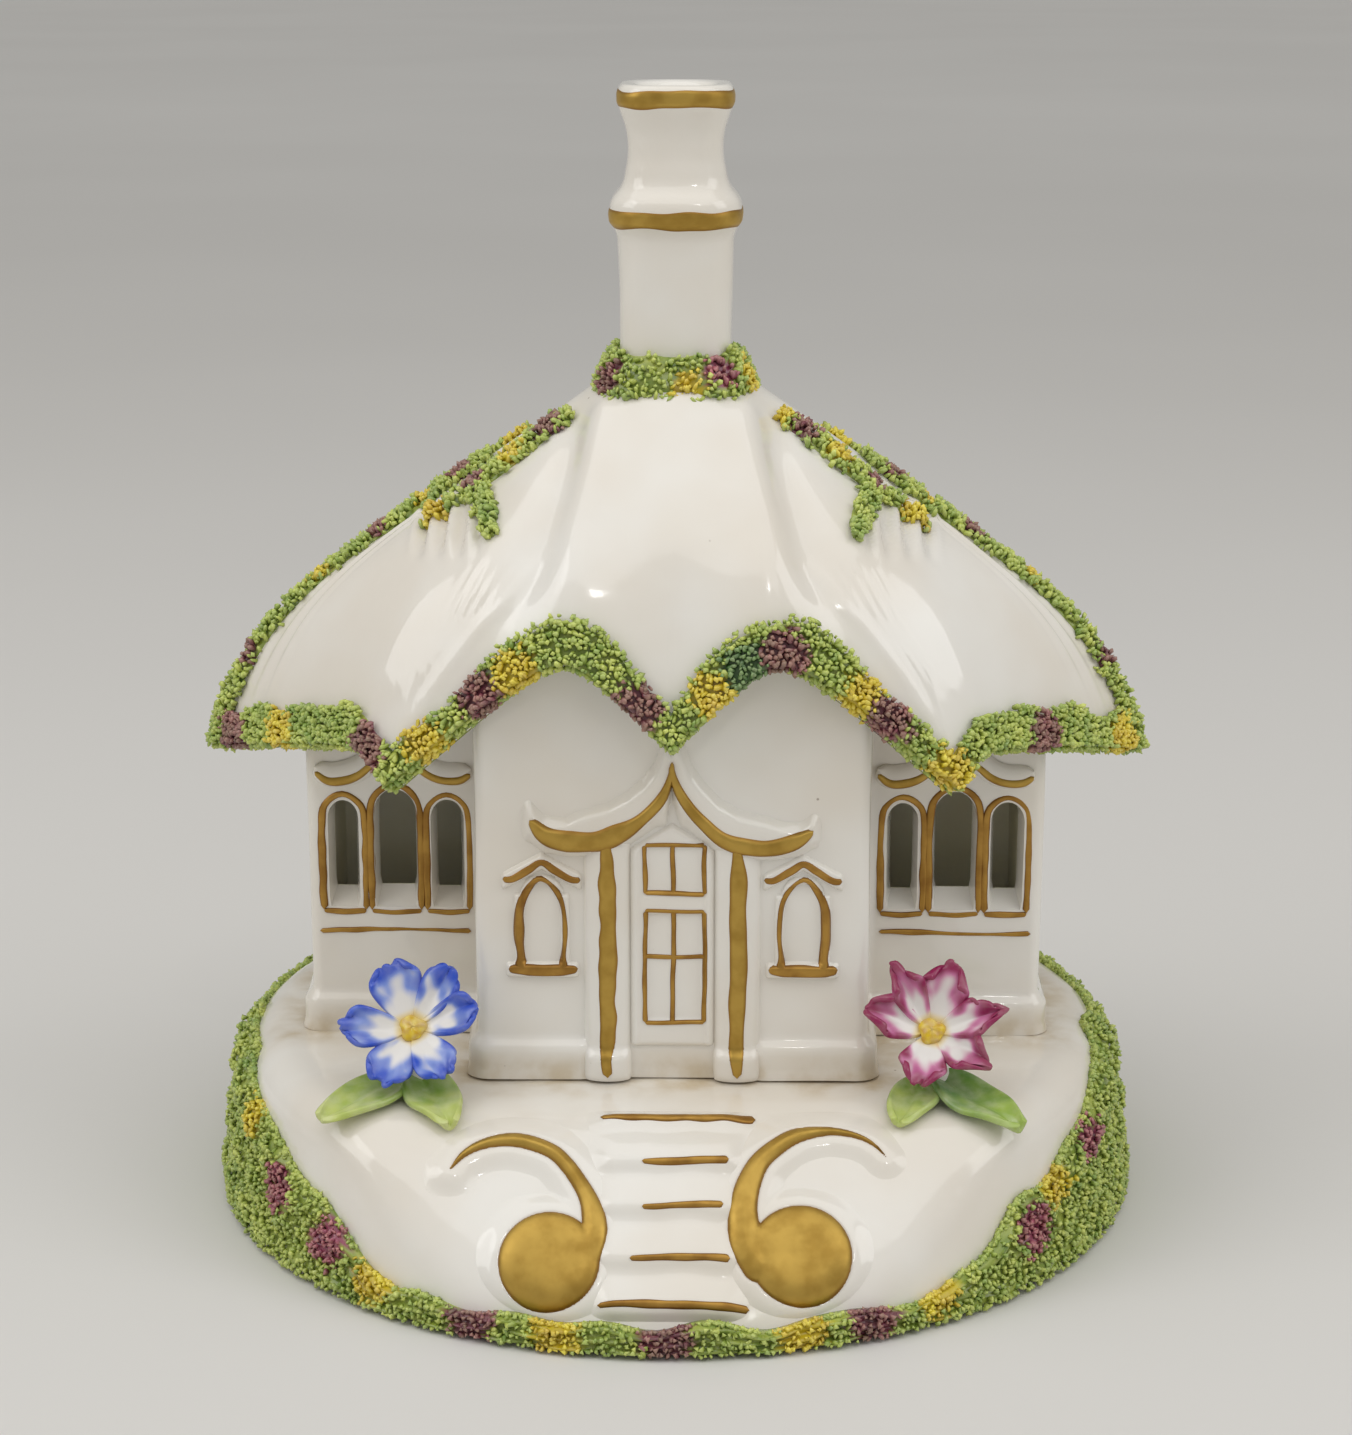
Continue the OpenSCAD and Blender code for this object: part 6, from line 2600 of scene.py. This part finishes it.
    def build_garlands(self) -> None:
        """Lay the rib garlands and the forked hip garlands."""
        for side, w in ((Side.LEFT, 6.0), (Side.RIGHT, 2.0)):
            word = side.word
            path = [(w, 0.29, 0.9), (w, 0.34, 2.1), (w, 0.42, 2.6), (w, 0.58, 2.5), (w, 0.76, 2.3),
                    (w, 0.9, 2.1), (w, 0.985, 1.9)]
            marks = self.dabs([(w, 0.37, 2.0, MAROON), (w, 0.48, 1.8, YELLOW), (w, 0.6, 2.2, MAROON),
                               (w, 0.74, 1.8, YELLOW), (w, 0.9, 2.0, MAROON)])
            self.build_strip(f"moss_on_rib_{word}", f"rib_garland_{word}", [path], marks, 220 + side.value)
        hips = (("front_left", 6.52, 1), ("front_right", 1.48, -1), ("back_left", 5.48, -1),
                ("back_right", 2.52, 1))
        for k, (word, w, turn) in enumerate(hips):
            stem = [(w + 0.08 * turn, 0.1, 0.8), (w + 0.05 * turn, 0.17, 2.1), (w + 0.02 * turn, 0.28, 2.4),
                    (w, 0.41, 2.1)]
            if "back" in word:
                stem = [(w + 0.03 * turn, 0.25, 0.8), (w + 0.02 * turn, 0.31, 2.0), (w, 0.41, 2.1)]
            outer = [(w, 0.38, 1.6), (w - 0.04 * turn, 0.44, 1.7), (w - 0.08 * turn, 0.5, 1.5),
                     (w - 0.12 * turn, 0.55, 0.6)]
            inner = [(w + 0.02 * turn, 0.4, 1.5), (w + 0.2 * turn, 0.45, 1.6), (w + 0.4 * turn, 0.52, 1.5),
                     (w + 0.56 * turn, 0.6, 0.6)]
            first = YELLOW if "right" in word else GREEN
            marks = self.dabs([(w + 0.07 * turn, 0.11, 2.2, first), (w + 0.04 * turn, 0.18, 2.2, MAROON),
                               (w + 0.01 * turn, 0.29, 2.2, YELLOW), (w - 0.02 * turn, 0.4, 1.9, MAROON),
                               (w - 0.1 * turn, 0.51, 2.4, YELLOW)])
            self.build_strip(f"moss_on_hip_{word}", f"hip_garland_{word}", [stem, outer, inner], marks,
                             230 + 3 * k)

    def build_collar(self) -> None:
        """Heap moss round the chimney's foot."""
        def ring(turn: Array, share: Array, lift: Array) -> tuple[Array, Array]:
            """Give places on the heap's outside.

            Args:
                turn: Bearings in radians.
                share: Shares of the way up the heap.
                lift: Distances out of it in millimetres.

            Returns:
                Places and outward directions.
            """
            r = np.interp(share, [0, 0.3, 0.6, 0.85, 1.0], [10.0, 9.6, 8.9, 8.2, 7.4])
            z = np.interp(share, [0, 0.3, 0.6, 0.85, 1.0], [100.1, 101.5, 103.1, 104.4, 105.0])
            z = z + 0.5 * round_ripple(8, turn, 6.0, 241, share)
            square = 1 + 0.05 * np.cos(4 * turn + np.pi)
            out = on_ring(0.8, turn, np.full_like(turn, 0.6))
            return on_ring(r * square, turn, z) + out * lift[:, None], out

        def surface(u: Array, v: Array) -> Array:
            """Give the heap under the grains as a closed ring.

            Args:
                u: Shares along the grid's first direction.
                v: Shares along its second direction.

            Returns:
                Places in millimetres.
            """
            turn = TAU * u
            outer = ring(turn, np.clip(v / 0.7, 0, 1), np.zeros_like(u))[0]
            r = np.interp(v, [0.7, 0.8, 0.9, 1.0], [7.4, 6.0, 6.0, 10.0])
            z = np.interp(v, [0.7, 0.8, 0.9, 1.0], [105.0, 104.6, 99.6, 100.1])
            inner = on_ring(r, turn, z)
            return np.where((v <= 0.7)[:, None], outer,
                            np.where((v > 0.999)[:, None], ring(turn, 0 * u, 0 * u)[0], inner))

        bed = Bench.wrap("bed", 72, 20, surface, closed=True)
        draw = np.random.default_rng(242)
        places, outs = ring(draw.uniform(0, TAU, 1500), draw.uniform(-0.05, 1.0, 1500),
                            draw.uniform(0.1, 0.55, 1500))
        order = self.thin(places, 0.7)
        patches = [MossPatch(-7.6, -5.2, 102.0, 2.6, MAROON), MossPatch(5.4, -7.4, 103.2, 2.2, PINK),
                   MossPatch(1.6, -9.4, 101.8, 2.2, YELLOW), MossPatch(8.6, -3.6, 102.4, 2.4, YELLOW),
                   MossPatch(7.5, 6, 102.4, 2.6, MAROON), MossPatch(-6, 7.4, 102.4, 2.6, YELLOW)]
        grains = self.carpet.scatter("grains", places[order], outs[order], patches, 243, 0.95)
        self.carpet.finish("moss_round_chimney", bed, grains, Body.HOUSE, ["chimney_moss"], patches)

    def build(self) -> None:
        """Lay all the moss on the roof."""
        self.build_eaves()
        self.build_garlands()
        self.build_collar()


def base_dabs() -> list[MossPatch]:
    """Place the dabs of colour round the base.

    Returns:
        The dabs, the front ones first.
    """
    marks = [(-47.5, 9, PINK), (-40.3, 6, PINK), (-22.4, 2.4, MAROON), (0, 2.4, MAROON),
             (23.3, 2.6, MAROON), (43, 7, PINK), (51.5, 13, PINK), (-34.3, 4, YELLOW), (-12.7, 2.4, YELLOW),
             (15.1, 2.4, YELLOW), (31, 4, YELLOW), (46.3, 11, YELLOW), (-52.5, 15, YELLOW)]
    dabs = [MossPatch(x, -math.sqrt(BASE_MOSS_R**2 - x * x), z, 3.2, tint) for x, z, tint in marks]
    draw = np.random.default_rng(205)
    for k in range(16):
        turn = math.pi * (k + 0.3) / 16
        tint = (PINK, YELLOW)[k % 2]
        place = BASE_MOSS_R * math.cos(turn), BASE_MOSS_R * math.sin(turn), float(draw.uniform(4, 15))
        dabs.append(MossPatch(*place, 3.2, tint))
    return dabs


def eave_dabs(roof: DrapedRoof) -> list[MossPatch]:
    """Place the dabs of colour along the eaves, in the front ones' own order.

    Args:
        roof: The roof that they lie on.

    Returns:
        The dabs.
    """
    marks = [(-54.5, MAROON), (-47.5, YELLOW), (-35.5, MAROON), (-28.6, YELLOW), (-22.2, MAROON),
             (-18.0, YELLOW), (-3.8, MAROON), (5.0, YELLOW), (8.6, DARK_GREEN), (13.0, MAROON),
             (22.0, YELLOW), (25.2, MAROON), (32.2, YELLOW), (44.0, MAROON), (55.0, YELLOW)]
    dabs = []
    front = roof.eave[roof.eave[:, 1] <= 0]
    for x, tint in marks:
        spot_x, spot_y, spot_z = front[np.argmin(np.abs(front[:, 0] - x))]
        dabs.append(MossPatch(spot_x, spot_y, spot_z + 1.5, 3.0, tint))
        if abs(x) < 53:
            dabs.append(MossPatch(-spot_x, -spot_y, spot_z + 1.5, 3.0, tint))
    return dabs


LEFT_TAIL = ((-9.6, 18.6, 1.7), (-8.6, 15.6, 1.55), (-8.6, 13.4, 1.4), (-9.2, 11.2, 1.1),
             (-10.3, 9.1, 0.95), (-11.9, 6.8, 0.92), (-13.7, 5.1, 0.92), (-16.7, 3.9, 0.95),
             (-19.3, 3.7, 0.85), (-21.9, 4.35, 0.64), (-23.9, 5.6, 0.42), (-25.3, 7.4, 0.15))
RIGHT_TAIL = ((10.4, 18.6, 2.2), (8.9, 16.2, 2.0), (8.5, 13.8, 1.8), (8.5, 11.5, 1.62), (9.2, 8.7, 1.4),
              (10.4, 6.25, 1.2), (12.4, 4.3, 1.1), (14.6, 2.9, 1.0), (17.5, 2.3, 0.68), (19.9, 2.4, 0.5),
              (22.2, 3.1, 0.35), (23.8, 4.2, 0.22), (24.9, 5.5, 0.1))
BLUE_PETALS = (PetalShape(112, 8.0, 4.1, 2.6, 1.2, 0.1), PetalShape(56, 8.1, 3.0, 3.2, 2.0, 0.06),
               PetalShape(14, 7.9, 3.0, 3.4, 2.4, 0.05), PetalShape(-55, 7.2, 3.5, 2.2, 1.3, 0.06),
               PetalShape(-118, 7.5, 3.7, 1.8, 1.2, 0.08), PetalShape(182, 8.0, 3.2, 2.4, 1.8, 0.02))
PINK_PETALS = (PetalShape(72, 8.2, 3.7, 3.4, 1.6, 0.05), PetalShape(14, 8.1, 2.9, 3.4, 2.3, -0.06),
               PetalShape(-36, 7.6, 3.1, 2.6, 1.8, -0.04), PetalShape(-106, 7.0, 3.8, 2.0, 1.2, 0.1),
               PetalShape(163, 7.9, 3.3, 3.2, 2.2, 0.02), PetalShape(122, 8.1, 2.6, 3.8, 2.6, -0.06))


def main() -> None:
    """Build every part of the burner in order."""
    logging.basicConfig(level=logging.INFO, format="%(name)s %(message)s")
    Studio().build()
    mound, roof = MoundBase(), DrapedRoof()
    mound.build()
    FrontSteps(mound).build()
    GiltScroll(Side.LEFT, (-13.6, 18.4, 5.8), LEFT_TAIL, mound).build()
    GiltScroll(Side.RIGHT, (15.0, 17.5, 5.9), RIGHT_TAIL, mound).build()
    PastilleCup().build()
    AppliedFlower("blue", Side.LEFT, Slot.BLUE, BLUE_PETALS, shade(48, 84, 200), shade(128, 152, 222),
                  ((222, 12.6, 3.4, shade(124, 160, 60), shade(196, 208, 112)),
                   (297, 10.2, 3.3, shade(120, 158, 58), shade(198, 210, 116)))).build()
    AppliedFlower("pink", Side.RIGHT, Slot.PINK, PINK_PETALS, shade(146, 34, 84), shade(206, 122, 168),
                  ((246, 9.0, 2.8, shade(116, 152, 58), shade(188, 204, 104)),
                   (316, 13.0, 3.5, shade(86, 132, 52), shade(164, 190, 88))), point=0.42).build()
    HouseWalls(roof).build()
    PorchFront().build()
    for side in Side:
        WingTrim(side).build()
    roof.build()
    ChimneyStack().build()
    BaseMoss(MossCarpet(grain_r=0.37, sides=3, stretch=1.25), mound, patches=base_dabs()).build()
    RoofMoss(MossCarpet(grain_r=0.32, sides=4, stretch=1.9), roof, eave_dabs(roof)).build()


if __name__ == "__main__":
    main()
